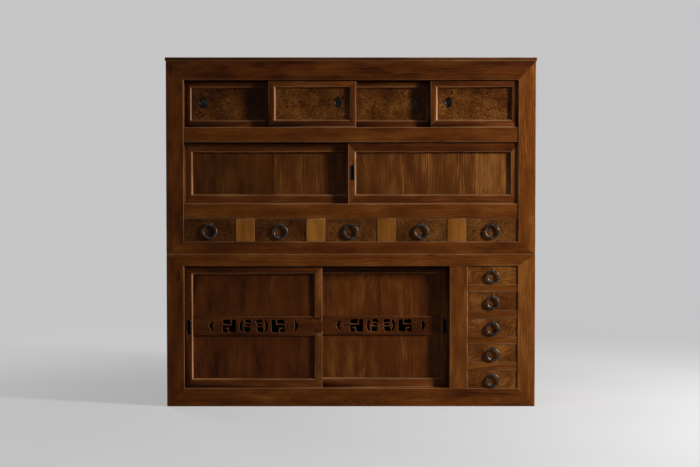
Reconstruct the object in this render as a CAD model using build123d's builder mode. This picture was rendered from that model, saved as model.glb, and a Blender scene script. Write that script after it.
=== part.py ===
from build123d import *
from math import cos, pi, sin
import os

os.makedirs("parts", exist_ok=True)

# A two-part kitchen chest with sliding doors, carved middle rails and ring-pull drawers.
# Millimetres: x runs right, y runs from the front to the back, z runs up from the floor.

# The two cases
CASE_WIDTH = 1740.0
CASE_DEPTH = 450.0
STILE_WIDTH = 83.0
MITRE_DEPTH = 16.0
GRID_SETBACK = 3.0
BACK_POST = 48.0
SIDE_RAIL_THICKNESS = 34.0
SIDE_PANEL_RECESS = 8.0
BACK_RAIL_HEIGHT = 40.0
BACK_RAIL_THICKNESS = 22.0
BACK_BOARD_THICKNESS = 12.0
BACK_BOARD_COUNT = 7
SHELF_THICKNESS = 18.0
SHELF_REST = 10.0
TOP_BOARD_THICKNESS = 16.0
TOP_BOARD_OVERHANG = 4.0

# Heights of the front, from the floor up
BASE_RAIL = 86.0
LOWER_OPENING = 578.0
LOWER_HEAD_RAIL = 57.0
UPPER_BASE_RAIL = 59.0
SMALL_DRAWER_OPENING = 108.0
DRAWER_HEAD_RAIL = 71.0
MIDDLE_OPENING = 289.0
MIDDLE_HEAD_RAIL = 70.5
TOP_OPENING = 221.0
UPPER_HEAD_RAIL = 89.0

# Mortise and tenon joints of the cases
TENON_LENGTH = 24.0
TENON_THICKNESS = 14.0
TENON_SHOULDER = 10.0
STUB_TENON = 12.0

# Sliding doors and the tracks that carry them
DOOR_RECESS = 6.0
DOOR_THICKNESS = 24.0
TRACK_GAP = 4.0
TRACK_LEDGE = 6.0
TONGUE_THICKNESS = 10.0
TRACK_CLEARANCE = 0.5
RUN_CLEARANCE = 0.3
SILL_GROOVE = 5.0
HEAD_GROOVE = 15.0
FOOT_GAP = 1.0
LIFT_GAP = 5.5
PANEL_THICKNESS = 9.0
PANEL_RECESS = 11.0
PANEL_GROOVE = 8.0
DOOR_TENON_INSET = 8.0
DOOR_ARRIS = 6.0

TOP_DOOR_STILE = 33.0
TOP_DOOR_HEAD_RAIL = 30.0
TOP_DOOR_BASE_RAIL = 36.0
TOP_DOOR_OVERLAP = 13.0
TOP_DOOR_CENTRE_OVERLAP = 48.0
MIDDLE_DOOR_STILE = 38.0
MIDDLE_DOOR_RAIL = 44.0
MIDDLE_DOOR_OVERLAP = 26.0
LOWER_DOOR_STILE = 40.0
LOWER_DOOR_HEAD_RAIL = 34.0
LOWER_DOOR_BASE_RAIL = 44.0
LOWER_DOOR_OVERLAP = 48.0

# Boards edge-joined into each wide panel, as shares of the panel from left to right
MIDDLE_LEFT_BOARDS = (0.53, 0.47)
MIDDLE_RIGHT_BOARDS = (0.38, 0.39, 0.23)
LOWER_LEFT_BOARDS = (0.13, 0.46, 0.41)
LOWER_RIGHT_BOARDS = (0.38, 0.12, 0.50)

# Carved middle rails of the lower doors
CARVED_RAIL_HEIGHT = 88.5
CARVED_RAIL_RISE = 4.5
CARVED_RAIL_SETBACK = 4.0
CARVED_RAIL_ARRIS = 2.0
CARVED_RAIL_THICKNESS = 18.0
BAR_SLOT = 80.0
BAR_HEIGHT = 47.0
BAR_DEPTH = 9.0
FRET_HEIGHT = 60.0
FRET_BAR = 6.5
FRET_SCROLL = 66.0
FRET_POST = 18.0
FRET_BLOCK = 62.0
FRET_STEM = 47.0
FRET_STEM_MIDDLE = 19.0
FRET_CRESCENT = 20.0
FRET_DOT = 6.0
FRET_DOT_SPACING = 16.5
FLOWER_DOTS = (0.9, 0.55, 0.17, -0.25)

# The squared scroll: an angle of bar hangs in the block's upper part, a hook stands in its lower part
KEY_ARM = 20.0
KEY_SHELF = 10.0
KEY_HOOK = 34.0
KEY_HOOK_DROP = 8.0
KEY_HOOK_GAP = 10.0

# Corners of the carved voids, as shares of a scroll's length and of half the carving's height
SCROLL_VOIDS = (
    ((0.14, 0.67), (0.26, 0.97), (0.64, 0.97), (0.62, 0.63), (0.41, 0.47), (0.21, 0.47)),
    ((0.20, 0.27), (0.55, 0.30), (0.65, 0.07), (0.27, 0.0)),
    ((0.18, -0.27), (0.61, -0.20), (0.67, -0.40), (0.67, -0.97), (0.33, -0.97), (0.26, -0.60)),
    (
        (0.74, 1.0),
        (0.91, 0.77),
        (1.0, 0.27),
        (1.0, -0.33),
        (0.91, -0.8),
        (0.74, -1.0),
        (0.82, -0.5),
        (0.85, 0.0),
        (0.82, 0.5),
    ),
)
CRESCENT_VOID = (
    (0.0, 1.0),
    (0.42, 0.66),
    (0.7, 0.28),
    (1.0, 0.0),
    (0.7, -0.28),
    (0.42, -0.66),
    (0.0, -1.0),
    (0.14, 0.0),
)

# Iron finger cups
CUP_WIDTH = 38.0
CUP_HEIGHT = 50.0
CUP_INSET = 52.0
CUP_RISE = 6.5
PULL_WIDTH = 20.0
PULL_LENGTH = 74.0
PULL_BACKING = 1.0
CUP_RIM = 1.0
CUP_RIM_WIDTH = 2.5
CUP_WALL = 1.2
CUP_FACETS = 14

# Drawers
SMALL_DRAWER_COUNT = 5
BLOCK_WIDTH = 88.5
GUIDE_THICKNESS = 12.0
DUST_BOARD = 9.0
STACK_DRAWER_COUNT = 5
STACK_RAIL = 37.0
STACK_RAIL_DEPTH = 40.0
STACK_WIDTH = 235.0
STACK_POST = 85.0
PARTITION_THICKNESS = 18.0
RUNNER_SIZE = 18.0
DRAWER_SETBACK = 2.0
DRAWER_SIDE_GAP = 1.0
DRAWER_HEAD_GAP = 1.2
DRAWER_BACK_GAP = 3.0
DRAWER_FRONT = 20.0
DRAWER_LIP = 8.0
DRAWER_SIDE = 10.0
DRAWER_SIDE_DROP = 6.0
DRAWER_BOTTOM = 6.0
DRAWER_BOTTOM_GROOVE = 4.0
DRAWER_BOTTOM_RISE = 6.0

# Ring pulls and the split staples that hold them
SMALL_DRAWER_RING = 71.0
STACK_DRAWER_RING = 63.0
RING_WIRE = 8.5
RING_TAPER = 1.0
RING_BEVEL = 2.5
RING_FACETS = 14
RING_DROP = 6.0
RING_STANDOFF = 3.0
RING_PLAY = 0.95
EYE_WALL = 2.8
EYE_FACETS = 8
STAPLE_WIDTH = 7.0
STAPLE_LEG = 2.6
CLINCH_LENGTH = 13.0
CLINCH_THICKNESS = 2.2
SEAT_WIDTH = 13.0
SEAT_THICKNESS = 1.2

# Levels and planes that follow from the sizes above
base_top = BASE_RAIL
lower_head = base_top + LOWER_OPENING
seam = lower_head + LOWER_HEAD_RAIL
drawer_floor = seam + UPPER_BASE_RAIL
drawer_head = drawer_floor + SMALL_DRAWER_OPENING
middle_sill = drawer_head + DRAWER_HEAD_RAIL
middle_head = middle_sill + MIDDLE_OPENING
top_sill = middle_head + MIDDLE_HEAD_RAIL
top_head = top_sill + TOP_OPENING
case_top = top_head + UPPER_HEAD_RAIL
lower_rails = [(0, base_top), (lower_head, seam)]
upper_rails = [
    (seam, drawer_floor),
    (drawer_head, middle_sill),
    (middle_head, top_sill),
    (top_head, case_top),
]

front = -CASE_DEPTH / 2
back = CASE_DEPTH / 2
half_width = CASE_WIDTH / 2
inner = half_width - STILE_WIDTH
grid_front = front + GRID_SETBACK
drawer_face = grid_front + DRAWER_SETBACK
front_track = grid_front + DOOR_RECESS
back_track = front_track + DOOR_THICKNESS + TRACK_GAP
frame_back = back_track + DOOR_THICKNESS + TRACK_LEDGE
back_frame = back - BACK_POST
board_plane = back - BACK_BOARD_THICKNESS
rail_plane = board_plane - BACK_RAIL_THICKNESS
stack_left = inner - STACK_WIDTH
door_limit = stack_left - STACK_POST
side_face = half_width - SIDE_RAIL_THICKNESS
panel_outside = half_width - SIDE_PANEL_RECESS
pull_depth = PANEL_RECESS - PULL_BACKING


# Small helpers for wood that is sawn square
def upright(y):
    """Drawing plane that faces the viewer at depth y, with x to the right and z up."""
    return Plane.XZ.offset(-y)


def block(x0, x1, y0, y1, z0, z1, mode=Mode.ADD):
    """Square-edged block between two opposite corners, for use inside a part."""
    with Locations(((x0 + x1) / 2, (y0 + y1) / 2, (z0 + z1) / 2)):
        Box(abs(x1 - x0), abs(y1 - y0), abs(z1 - z0), mode=mode)


def plank(*corners):
    """One plain board between two opposite corners."""
    with BuildPart() as board:
        block(*corners)
    return board.part


def save(name, *pieces):
    """Label and write one node: the separate pieces that travel together."""
    group = Compound(label=name, children=list(pieces))
    export_step(group, f"parts/{name}.step")


# Joints of the front frames, shared by the piece with the tenon and the piece with the mortise
def frame_tenon(side, z0, z1):
    """Tenon of a front rail in a front post."""
    middle = (front + MITRE_DEPTH + frame_back) / 2
    return (
        side * inner,
        side * (inner + TENON_LENGTH),
        middle - TENON_THICKNESS / 2,
        middle + TENON_THICKNESS / 2,
        z0 + TENON_SHOULDER,
        z1 - TENON_SHOULDER,
    )


def side_tenon(side, y, direction, z0, z1):
    """Tenon of a side rail in a front or back post, from the shoulder at y."""
    middle = half_width - SIDE_RAIL_THICKNESS / 2
    return (
        side * (middle - TENON_THICKNESS / 2),
        side * (middle + TENON_THICKNESS / 2),
        y,
        y + direction * TENON_LENGTH,
        z0 + TENON_SHOULDER,
        z1 - TENON_SHOULDER,
    )


def back_tenon(side, z0, z1):
    """Tenon of a back rail in a back post."""
    return (
        side * (half_width - BACK_POST),
        side * (half_width - BACK_POST + TENON_LENGTH / 2),
        rail_plane,
        board_plane,
        z0,
        z1,
    )


def stub_tenon(x0, x1, z, rise):
    """Short tenon of an upright between two front rails, from the shoulder at z."""
    middle = (grid_front + frame_back) / 2
    return (
        x0 + TENON_SHOULDER,
        x1 - TENON_SHOULDER,
        middle - TENON_THICKNESS / 2,
        middle + TENON_THICKNESS / 2,
        z,
        z + rise,
    )


def stack_tenon(x, direction, z0, z1):
    """Tenon of a drawer rail of the stack, from the shoulder at x."""
    middle = grid_front + STACK_RAIL_DEPTH / 2
    return (
        x,
        x + direction * TENON_LENGTH / 2,
        middle - TENON_THICKNESS / 2,
        middle + TENON_THICKNESS / 2,
        z0 + TENON_SHOULDER,
        z1 - TENON_SHOULDER,
    )


def back_rail_levels(rails, shelved):
    """Bottom and top of each back rail: under its shelf, or level with the head of the case."""
    tops = [z1 - SHELF_THICKNESS if carries else z1 for (z0, z1), carries in zip(rails, shelved)]
    return [(top - BACK_RAIL_HEIGHT, top) for top in tops]


def side_panel_box(side, z0, z1):
    """Side panel between two side rails, with its edges in their grooves and in the posts."""
    return (
        side * (panel_outside - PANEL_THICKNESS),
        side * panel_outside,
        frame_back - PANEL_GROOVE,
        back_frame + PANEL_GROOVE,
        z0 - PANEL_GROOVE,
        z1 + PANEL_GROOVE,
    )


def panel_boxes(side, rails):
    """The side panels of one case, one in each bay between its side rails."""
    return [side_panel_box(side, low[1], high[0]) for low, high in zip(rails, rails[1:])]


# Places of the drawers, shared by the drawers and by what carries them
small_width = (2 * inner - (SMALL_DRAWER_COUNT - 1) * BLOCK_WIDTH) / SMALL_DRAWER_COUNT
small_lefts = [-inner + i * (small_width + BLOCK_WIDTH) for i in range(SMALL_DRAWER_COUNT)]
block_spans = [(x + small_width, x + small_width + BLOCK_WIDTH) for x in small_lefts[:-1]]
stack_height = (LOWER_OPENING - (STACK_DRAWER_COUNT - 1) * STACK_RAIL) / STACK_DRAWER_COUNT
stack_floors = [base_top + i * (stack_height + STACK_RAIL) for i in range(STACK_DRAWER_COUNT)]
stack_rails = [(z - STACK_RAIL, z) for z in stack_floors[1:]]


# Posts: the front pair is mitred on the face and carries the rails in mortises
def front_post(side, rails, extra_mortises=()):
    z0, z1 = rails[0][0], rails[-1][1]
    outer_edge = side * half_width
    inner_edge = side * inner
    with BuildPart() as post:
        with BuildSketch(upright(front)):
            with BuildLine():
                Polyline(
                    (outer_edge, z0),
                    (inner_edge, rails[0][1]),
                    (inner_edge, rails[-1][0]),
                    (outer_edge, z1),
                    close=True,
                )
            make_face()
        extrude(amount=-MITRE_DEPTH)
        block(outer_edge, inner_edge, front + MITRE_DEPTH, frame_back, z0, z1)
        for low, high in rails:
            block(*frame_tenon(side, low, high), mode=Mode.SUBTRACT)
            block(*side_tenon(side, frame_back, -1, low, high), mode=Mode.SUBTRACT)
        for box in (*extra_mortises, *panel_boxes(side, rails)):
            block(*box, mode=Mode.SUBTRACT)
    return post.part


def back_post(side, rails, shelved):
    with BuildPart() as post:
        inside = side * (half_width - BACK_POST)
        block(inside, side * half_width, back_frame, back, rails[0][0], rails[-1][1])
        for low, high in rails:
            block(*side_tenon(side, back_frame, 1, low, high), mode=Mode.SUBTRACT)
        for low, high in back_rail_levels(rails, shelved):
            block(*back_tenon(side, low, high), mode=Mode.SUBTRACT)
        for box in panel_boxes(side, rails):
            block(*box, mode=Mode.SUBTRACT)
    return post.part


# Front rails: the top and bottom ones are mitred into the posts, the others are tenoned a little
# behind the face of the posts
def track_grooves(z, depth, x0, x1):
    """A pair of door tracks from the face at z, cut inside a rail."""
    half = TONGUE_THICKNESS / 2 + TRACK_CLEARANCE
    for face in (front_track, back_track):
        middle = face + DOOR_THICKNESS / 2
        block(x0, x1, middle - half, middle + half, z, z + depth, mode=Mode.SUBTRACT)


def front_rail(z0, z1, ears, grooves=(), mortises=()):
    """One front rail. ears is -1 or 1 where the lower or upper edge runs out to the mitre, or 0."""
    low = half_width if ears < 0 else inner
    high = half_width if ears > 0 else inner
    face = front if ears else grid_front
    mitre_back = front + MITRE_DEPTH
    with BuildPart() as rail:
        with BuildSketch(upright(face)):
            with BuildLine():
                Polyline((-low, z0), (low, z0), (high, z1), (-high, z1), close=True)
            make_face()
        extrude(amount=face - mitre_back)
        block(-inner, inner, mitre_back, frame_back, z0, z1)
        for side in (-1, 1):
            block(*frame_tenon(side, z0, z1))
        for groove in grooves:
            track_grooves(*groove)
        for box in mortises:
            block(*box, mode=Mode.SUBTRACT)
    return rail.part


# Side rails: a rebate along the top inner edge carries the shelf
def side_rail(side, z0, z1, carries_shelf, panels):
    with BuildPart() as rail:
        block(side * side_face, side * half_width, frame_back, back_frame, z0, z1)
        block(*side_tenon(side, frame_back, -1, z0, z1))
        block(*side_tenon(side, back_frame, 1, z0, z1))
        if carries_shelf:
            rest = side * (side_face + SHELF_REST)
            floor = z1 - SHELF_THICKNESS
            block(side * side_face, rest, frame_back, back_frame, floor, z1, mode=Mode.SUBTRACT)
        for box in panels:
            block(*box, mode=Mode.SUBTRACT)
    return rail.part


def shelf(top):
    """Full-depth shelf on the side rails, notched round the back posts."""
    with BuildPart() as board:
        reach = side_face + SHELF_REST
        low = top - SHELF_THICKNESS
        block(-reach, reach, frame_back, board_plane, low, top)
        for side in (-1, 1):
            post = side * (half_width - BACK_POST)
            block(post, side * half_width, back_frame, back, low, top, mode=Mode.SUBTRACT)
    return board.part


def back_rail(z0, z1):
    with BuildPart() as rail:
        reach = half_width - BACK_POST
        block(-reach, reach, rail_plane, board_plane, z0, z1)
        for side in (-1, 1):
            block(*back_tenon(side, z0, z1))
    return rail.part


def back_boards(z0, z1):
    """Upright boards side by side between the back posts."""
    reach = half_width - BACK_POST
    width = 2 * reach / BACK_BOARD_COUNT
    lefts = [-reach + i * width for i in range(BACK_BOARD_COUNT)]
    return [plank(x, x + width, board_plane, back, z0, z1) for x in lefts]


# Upper case
upper_shelved = [True, True, True, False]
upper_posts = [front_post(side, upper_rails) for side in (-1, 1)]
upper_posts += [back_post(side, upper_rails, upper_shelved) for side in (-1, 1)]
save("upper_posts", *upper_posts)

block_feet = [stub_tenon(x0, x1, drawer_floor, -STUB_TENON) for x0, x1 in block_spans]
block_heads = [stub_tenon(x0, x1, drawer_head, STUB_TENON) for x0, x1 in block_spans]
middle_sill_groove = (middle_sill, -SILL_GROOVE, -inner, inner)
middle_head_groove = (middle_head, HEAD_GROOVE, -inner, inner)
top_sill_groove = (top_sill, -SILL_GROOVE, -inner, inner)
top_head_groove = (top_head, HEAD_GROOVE, -inner, inner)
save(
    "upper_front_rails",
    front_rail(seam, drawer_floor, -1, mortises=block_feet),
    front_rail(drawer_head, middle_sill, 0, grooves=[middle_sill_groove], mortises=block_heads),
    front_rail(middle_head, top_sill, 0, grooves=[middle_head_groove, top_sill_groove]),
    front_rail(top_head, case_top, 1, grooves=[top_head_groove]),
)

upper_panel_boxes = {side: panel_boxes(side, upper_rails) for side in (-1, 1)}
save(
    "upper_side_rails",
    *[
        side_rail(side, z0, z1, carries, upper_panel_boxes[side])
        for side in (-1, 1)
        for (z0, z1), carries in zip(upper_rails, upper_shelved)
    ],
)
save("upper_side_panels", *[plank(*box) for side in (-1, 1) for box in upper_panel_boxes[side]])
save(
    "upper_back",
    *[back_rail(z0, z1) for z0, z1 in back_rail_levels(upper_rails, upper_shelved)],
    *back_boards(seam, case_top),
)

guide_reach = inner + GUIDE_THICKNESS
dust_board = plank(
    -guide_reach, guide_reach, frame_back, rail_plane, drawer_head, drawer_head + DUST_BOARD
)
save("upper_shelves", shelf(drawer_floor), shelf(middle_sill), shelf(top_sill), dust_board)


def drawer_block(x0, x1):
    """Short upright between two of the small drawers, tenoned into the rails."""
    with BuildPart() as upright_block:
        block(x0, x1, grid_front, frame_back, drawer_floor, drawer_head)
        block(*stub_tenon(x0, x1, drawer_floor, -STUB_TENON))
        block(*stub_tenon(x0, x1, drawer_head, STUB_TENON))
    return upright_block.part


def drawer_guides(x0, x1):
    """The two boards that a small drawer slides between."""
    depth = (frame_back, rail_plane, drawer_floor, drawer_head)
    return [plank(x0 - GUIDE_THICKNESS, x0, *depth), plank(x1, x1 + GUIDE_THICKNESS, *depth)]


save(
    "small_drawer_partitions",
    *[drawer_block(x0, x1) for x0, x1 in block_spans],
    *[guide for x in small_lefts for guide in drawer_guides(x, x + small_width)],
)

overhang = half_width + TOP_BOARD_OVERHANG
with BuildPart() as top_board:
    top = case_top + TOP_BOARD_THICKNESS
    block(-overhang, overhang, front - TOP_BOARD_OVERHANG, back, case_top, top)
top_board.part.label = "top_board"
export_step(top_board.part, "parts/top_board.step")


# Lower case
lower_shelved = [True, True]
stack_mortises = [stack_tenon(inner, 1, z0, z1) for z0, z1 in stack_rails]
lower_posts = [front_post(-1, lower_rails), front_post(1, lower_rails, stack_mortises)]
lower_posts += [back_post(side, lower_rails, lower_shelved) for side in (-1, 1)]
save("lower_posts", *lower_posts)

post_foot = stub_tenon(door_limit, stack_left, base_top, -STUB_TENON)
post_head = stub_tenon(door_limit, stack_left, lower_head, STUB_TENON)
with BuildPart() as stack_post:
    block(door_limit, stack_left, grid_front, frame_back, base_top, lower_head)
    block(*post_foot)
    block(*post_head)
    for low, high in stack_rails:
        block(*stack_tenon(stack_left, -1, low, high), mode=Mode.SUBTRACT)


stack_rail_back = grid_front + STACK_RAIL_DEPTH


def stack_rail(z0, z1):
    """Front rail between two drawers of the stack."""
    with BuildPart() as rail:
        block(stack_left, inner, grid_front, stack_rail_back, z0, z1)
        block(*stack_tenon(stack_left, -1, z0, z1))
        block(*stack_tenon(inner, 1, z0, z1))
    return rail.part


lower_sill_groove = (base_top, -SILL_GROOVE, -inner, door_limit)
lower_head_groove = (lower_head, HEAD_GROOVE, -inner, door_limit)
save(
    "lower_front_rails",
    front_rail(0, base_top, -1, grooves=[lower_sill_groove], mortises=[post_foot]),
    front_rail(lower_head, seam, 1, grooves=[lower_head_groove], mortises=[post_head]),
    stack_post.part,
    *[stack_rail(z0, z1) for z0, z1 in stack_rails],
)

lower_panel_boxes = {side: panel_boxes(side, lower_rails) for side in (-1, 1)}
save(
    "lower_side_frames",
    *[
        side_rail(side, z0, z1, carries, lower_panel_boxes[side])
        for side in (-1, 1)
        for (z0, z1), carries in zip(lower_rails, lower_shelved)
    ],
    *[plank(*box) for side in (-1, 1) for box in lower_panel_boxes[side]],
)
save(
    "lower_back",
    *[back_rail(z0, z1) for z0, z1 in back_rail_levels(lower_rails, lower_shelved)],
    *back_boards(0, seam),
)

wall_top = seam - SHELF_THICKNESS
wall_depth = (frame_back, rail_plane)
partition = plank(stack_left - PARTITION_THICKNESS, stack_left, *wall_depth, base_top, wall_top)
stack_guide = plank(inner, inner + GUIDE_THICKNESS, *wall_depth, base_top, wall_top)
runner_depth = (stack_rail_back, rail_plane)
runners = []
for floor in stack_floors[1:]:
    runners.append(plank(stack_left, stack_left + RUNNER_SIZE, *runner_depth, floor - RUNNER_SIZE, floor))
    runners.append(plank(inner - RUNNER_SIZE, inner, *runner_depth, floor - RUNNER_SIZE, floor))
save("lower_inner_boards", shelf(base_top), shelf(seam), partition, stack_guide, *runners)


# Finger cups: a thin iron rim on the wood, with a wall and a floor let into it
def oval_points(half_width, half_height, half_straight):
    """Corners of a faceted oval. half_straight lengthens it between two half rounds."""
    turns = [(i + 0.5) * 2 * pi / CUP_FACETS for i in range(CUP_FACETS)]
    shift = [half_straight if sin(turn) > 0 else -half_straight for turn in turns]
    return [
        (half_width * cos(turn), half_height * sin(turn) + rise) for turn, rise in zip(turns, shift)
    ]


def draw_oval(inset):
    Polygon(*oval_points(CUP_WIDTH / 2 - inset, CUP_HEIGHT / 2 - inset, 0))


def draw_slot(inset):
    radius = PULL_WIDTH / 2 - inset
    Polygon(*oval_points(radius, radius, (PULL_LENGTH - PULL_WIDTH) / 2))


def cup_recess(x, z, surface, depth, draw):
    """Recess for a finger cup, cut from the surface inside a part."""
    with BuildSketch(upright(surface)) as recess:
        with Locations((x, z)):
            draw(CUP_RIM_WIDTH)
    extrude(recess.sketch, amount=-depth, mode=Mode.SUBTRACT)


def finger_cup(x, z, surface, depth, draw):
    with BuildPart() as cup:
        with BuildSketch(upright(surface)):
            with Locations((x, z)):
                draw(0)
        extrude(amount=CUP_RIM)
        with BuildSketch(upright(surface)):
            with Locations((x, z)):
                draw(CUP_RIM_WIDTH)
        extrude(amount=-depth)
        with BuildSketch(upright(surface - CUP_RIM)):
            with Locations((x, z)):
                draw(CUP_RIM_WIDTH + CUP_WALL)
        extrude(amount=-(CUP_RIM + depth - CUP_WALL), mode=Mode.SUBTRACT)
    return cup.part


# Sliding doors: a mitred frame with hidden tenons round a panel, with a tongue in each track
def frame_member(outline, face, along, towards, keep, tenons=(), cuts=(), recess=None):
    """One mitred member. The arris beside the panel lies along one axis and is last or first
    (keep) towards another."""
    with BuildPart() as member:
        with BuildSketch(upright(face)):
            with BuildLine():
                Polyline(*outline, close=True)
            make_face()
        extrude(amount=-DOOR_THICKNESS)
        front_edges = member.edges().filter_by(along).group_by(Axis.Y)[0]
        chamfer(front_edges.sort_by(towards)[keep], DOOR_ARRIS)
        for box in tenons:
            block(*box)
        for box in cuts:
            block(*box, mode=Mode.SUBTRACT)
        if recess:
            cup_recess(*recess)
    return member.part


def door_frame(left, right, sill, head, face, stile, base_rail, head_rail, panels, cuts=(), recesses=()):
    """The four mitred members of a door, with the grooves for its panels."""
    foot, crown = sill + FOOT_GAP, head - LIFT_GAP
    x0, x1 = left + stile, right - stile
    z0, z1 = foot + base_rail, crown - head_rail
    depth = (face + PANEL_RECESS, face + PANEL_RECESS + PANEL_THICKNESS)
    low_tenon = (foot + DOOR_TENON_INSET, z0 - PANEL_GROOVE)
    high_tenon = (z1 + PANEL_GROOVE, crown - DOOR_TENON_INSET)
    spans = ((left + DOOR_TENON_INSET, x0), (x1, right - DOOR_TENON_INSET))
    low_tenons = [(*span, *depth, *low_tenon) for span in spans]
    high_tenons = [(*span, *depth, *high_tenon) for span in spans]
    middle = face + DOOR_THICKNESS / 2
    tongue = (left, right, middle - TONGUE_THICKNESS / 2, middle + TONGUE_THICKNESS / 2)
    low_tongue = (*tongue, sill - SILL_GROOVE + RUN_CLEARANCE, foot)
    high_tongue = (*tongue, crown, head + HEAD_GROOVE - LIFT_GAP - RUN_CLEARANCE)
    base = [(left, foot), (right, foot), (x1, z0), (x0, z0)]
    top = [(left, crown), (right, crown), (x1, z1), (x0, z1)]
    left_side = [(left, foot), (x0, z0), (x0, z1), (left, crown)]
    right_side = [(right, foot), (x1, z0), (x1, z1), (right, crown)]
    mortises = [*low_tenons, *high_tenons, *panels, *cuts]
    left_recess, right_recess = recesses or (None, None)
    return [
        frame_member(base, face, Axis.X, Axis.Z, -1, [*low_tenons, low_tongue], panels),
        frame_member(top, face, Axis.X, Axis.Z, 0, [*high_tenons, high_tongue], panels),
        frame_member(left_side, face, Axis.Z, Axis.X, -1, (), mortises, left_recess),
        frame_member(right_side, face, Axis.Z, Axis.X, 0, (), mortises, right_recess),
    ]


def panel_box(left, right, face, z0, z1):
    """Panel with its edges in the grooves of the members round it."""
    near = face + PANEL_RECESS
    low, high = z0 - PANEL_GROOVE, z1 + PANEL_GROOVE
    return (left - PANEL_GROOVE, right + PANEL_GROOVE, near, near + PANEL_THICKNESS, low, high)


def panel_planks(box, shares):
    """Boards that are edge-joined into one panel."""
    x0, x1, *rest = box
    edges = [x0]
    for share in shares:
        edges.append(edges[-1] + share * (x1 - x0) / sum(shares))
    return [plank(left, right, *rest) for left, right in zip(edges, edges[1:])]


# Four top doors with burl panels, in pairs on the back and front tracks
top_width = (2 * inner + 2 * TOP_DOOR_OVERLAP + TOP_DOOR_CENTRE_OVERLAP) / 4
top_lefts = [
    -inner,
    -inner + top_width - TOP_DOOR_OVERLAP,
    inner - 2 * top_width + TOP_DOOR_OVERLAP,
    inner - top_width,
]
top_cups_left = [True, False, False, True]
top_panel_z = (
    top_sill + FOOT_GAP + TOP_DOOR_BASE_RAIL,
    top_head - LIFT_GAP - TOP_DOOR_HEAD_RAIL,
)
top_frame = (TOP_DOOR_STILE, TOP_DOOR_BASE_RAIL, TOP_DOOR_HEAD_RAIL)
cup_height = sum(top_panel_z) / 2 + CUP_RISE
for number, (left, cup_left) in enumerate(zip(top_lefts, top_cups_left), 1):
    right = left + top_width
    face = back_track if number % 2 else front_track
    sight_left, sight_right = left + TOP_DOOR_STILE, right - TOP_DOOR_STILE
    box = panel_box(sight_left, sight_right, face, *top_panel_z)
    cup_x = sight_left + CUP_INSET if cup_left else sight_right - CUP_INSET
    surface = face + PANEL_RECESS
    cup = (cup_x, cup_height, surface, PANEL_THICKNESS, draw_oval)
    with BuildPart() as burl_panel:
        block(*box)
        cup_recess(*cup)
    frame = door_frame(left, right, top_sill, top_head, face, *top_frame, [box])
    save(f"top_door_{number}", *frame, burl_panel.part)
    save(f"top_door_{number}_cup", finger_cup(*cup))

# Two middle doors: the left one on the back track, the right one in front with an iron slot pull
middle_width = (2 * inner + MIDDLE_DOOR_OVERLAP) / 2
middle_panel_z = (
    middle_sill + FOOT_GAP + MIDDLE_DOOR_RAIL,
    middle_head - LIFT_GAP - MIDDLE_DOOR_RAIL,
)
middle_pull = (
    inner - middle_width + MIDDLE_DOOR_STILE / 2,
    (middle_sill + middle_head) / 2,
    front_track,
    pull_depth,
    draw_slot,
)


def middle_door(left, face, shares, recesses=()):
    right = left + middle_width
    box = panel_box(left + MIDDLE_DOOR_STILE, right - MIDDLE_DOOR_STILE, face, *middle_panel_z)
    sizes = (MIDDLE_DOOR_STILE, MIDDLE_DOOR_RAIL, MIDDLE_DOOR_RAIL)
    frame = door_frame(left, right, middle_sill, middle_head, face, *sizes, [box], (), recesses)
    return [*frame, *panel_planks(box, shares)]


save("middle_door_left", *middle_door(-inner, back_track, MIDDLE_LEFT_BOARDS))
save(
    "middle_door_right",
    *middle_door(inner - middle_width, front_track, MIDDLE_RIGHT_BOARDS, (middle_pull, None)),
)
save("middle_door_right_pull", finger_cup(*middle_pull))

# Two lower doors: the left one in front, each crossed by a carved and pierced rail
lower_width = (inner + door_limit + LOWER_DOOR_OVERLAP) / 2
lower_sight = (
    base_top + FOOT_GAP + LOWER_DOOR_BASE_RAIL,
    lower_head - LIFT_GAP - LOWER_DOOR_HEAD_RAIL,
)
carved_middle = (base_top + lower_head) / 2 + CARVED_RAIL_RISE
carved_low = carved_middle - CARVED_RAIL_HEIGHT / 2
carved_high = carved_middle + CARVED_RAIL_HEIGHT / 2
lower_pull_z = (base_top + lower_head) / 2

# The fretwork, drawn to the right of its centre line and then mirrored
fret_half = FRET_HEIGHT / 2
block_start = FRET_SCROLL + FRET_POST
block_end = block_start + FRET_BLOCK
stem_middle = block_end + FRET_STEM_MIDDLE
crescent_start = block_end + FRET_STEM


def fret_void(start, length, shares):
    """Chip-carved void: corners as shares of a length from start and of half the height."""
    with BuildLine() as outline:
        Polyline(*[(start + across * length, up * fret_half) for across, up in shares], close=True)
    make_face(outline.edges())


def fret_key():
    """Squared scroll: two voids that leave an angle of bar above and a hook of bar below."""
    arm = block_start + KEY_ARM
    hook_left = block_start + KEY_HOOK
    hook_right = hook_left + FRET_BAR
    hook_end = block_end - KEY_HOOK_GAP
    shelf_under = KEY_SHELF - FRET_BAR
    with BuildLine() as outline:
        Polyline(
            (block_start, fret_half),
            (arm, fret_half),
            (arm, shelf_under),
            (block_end, shelf_under),
            (block_end, -fret_half),
            (hook_right, -fret_half),
            (hook_right, -KEY_HOOK_DROP - FRET_BAR),
            (hook_end, -KEY_HOOK_DROP - FRET_BAR),
            (hook_end, -KEY_HOOK_DROP),
            (hook_left, -KEY_HOOK_DROP),
            (hook_left, -fret_half),
            (block_start, -fret_half),
            close=True,
        )
    make_face(outline.edges())
    with BuildLine() as corner:
        Polyline(
            (arm + FRET_BAR, fret_half),
            (block_end, fret_half),
            (block_end, KEY_SHELF),
            (arm + FRET_BAR, KEY_SHELF),
            close=True,
        )
    make_face(corner.edges())


def fret_dot(x, z):
    """Small pierced diamond."""
    with Locations((x, z)):
        Rectangle(FRET_DOT, FRET_DOT, rotation=45)


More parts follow.
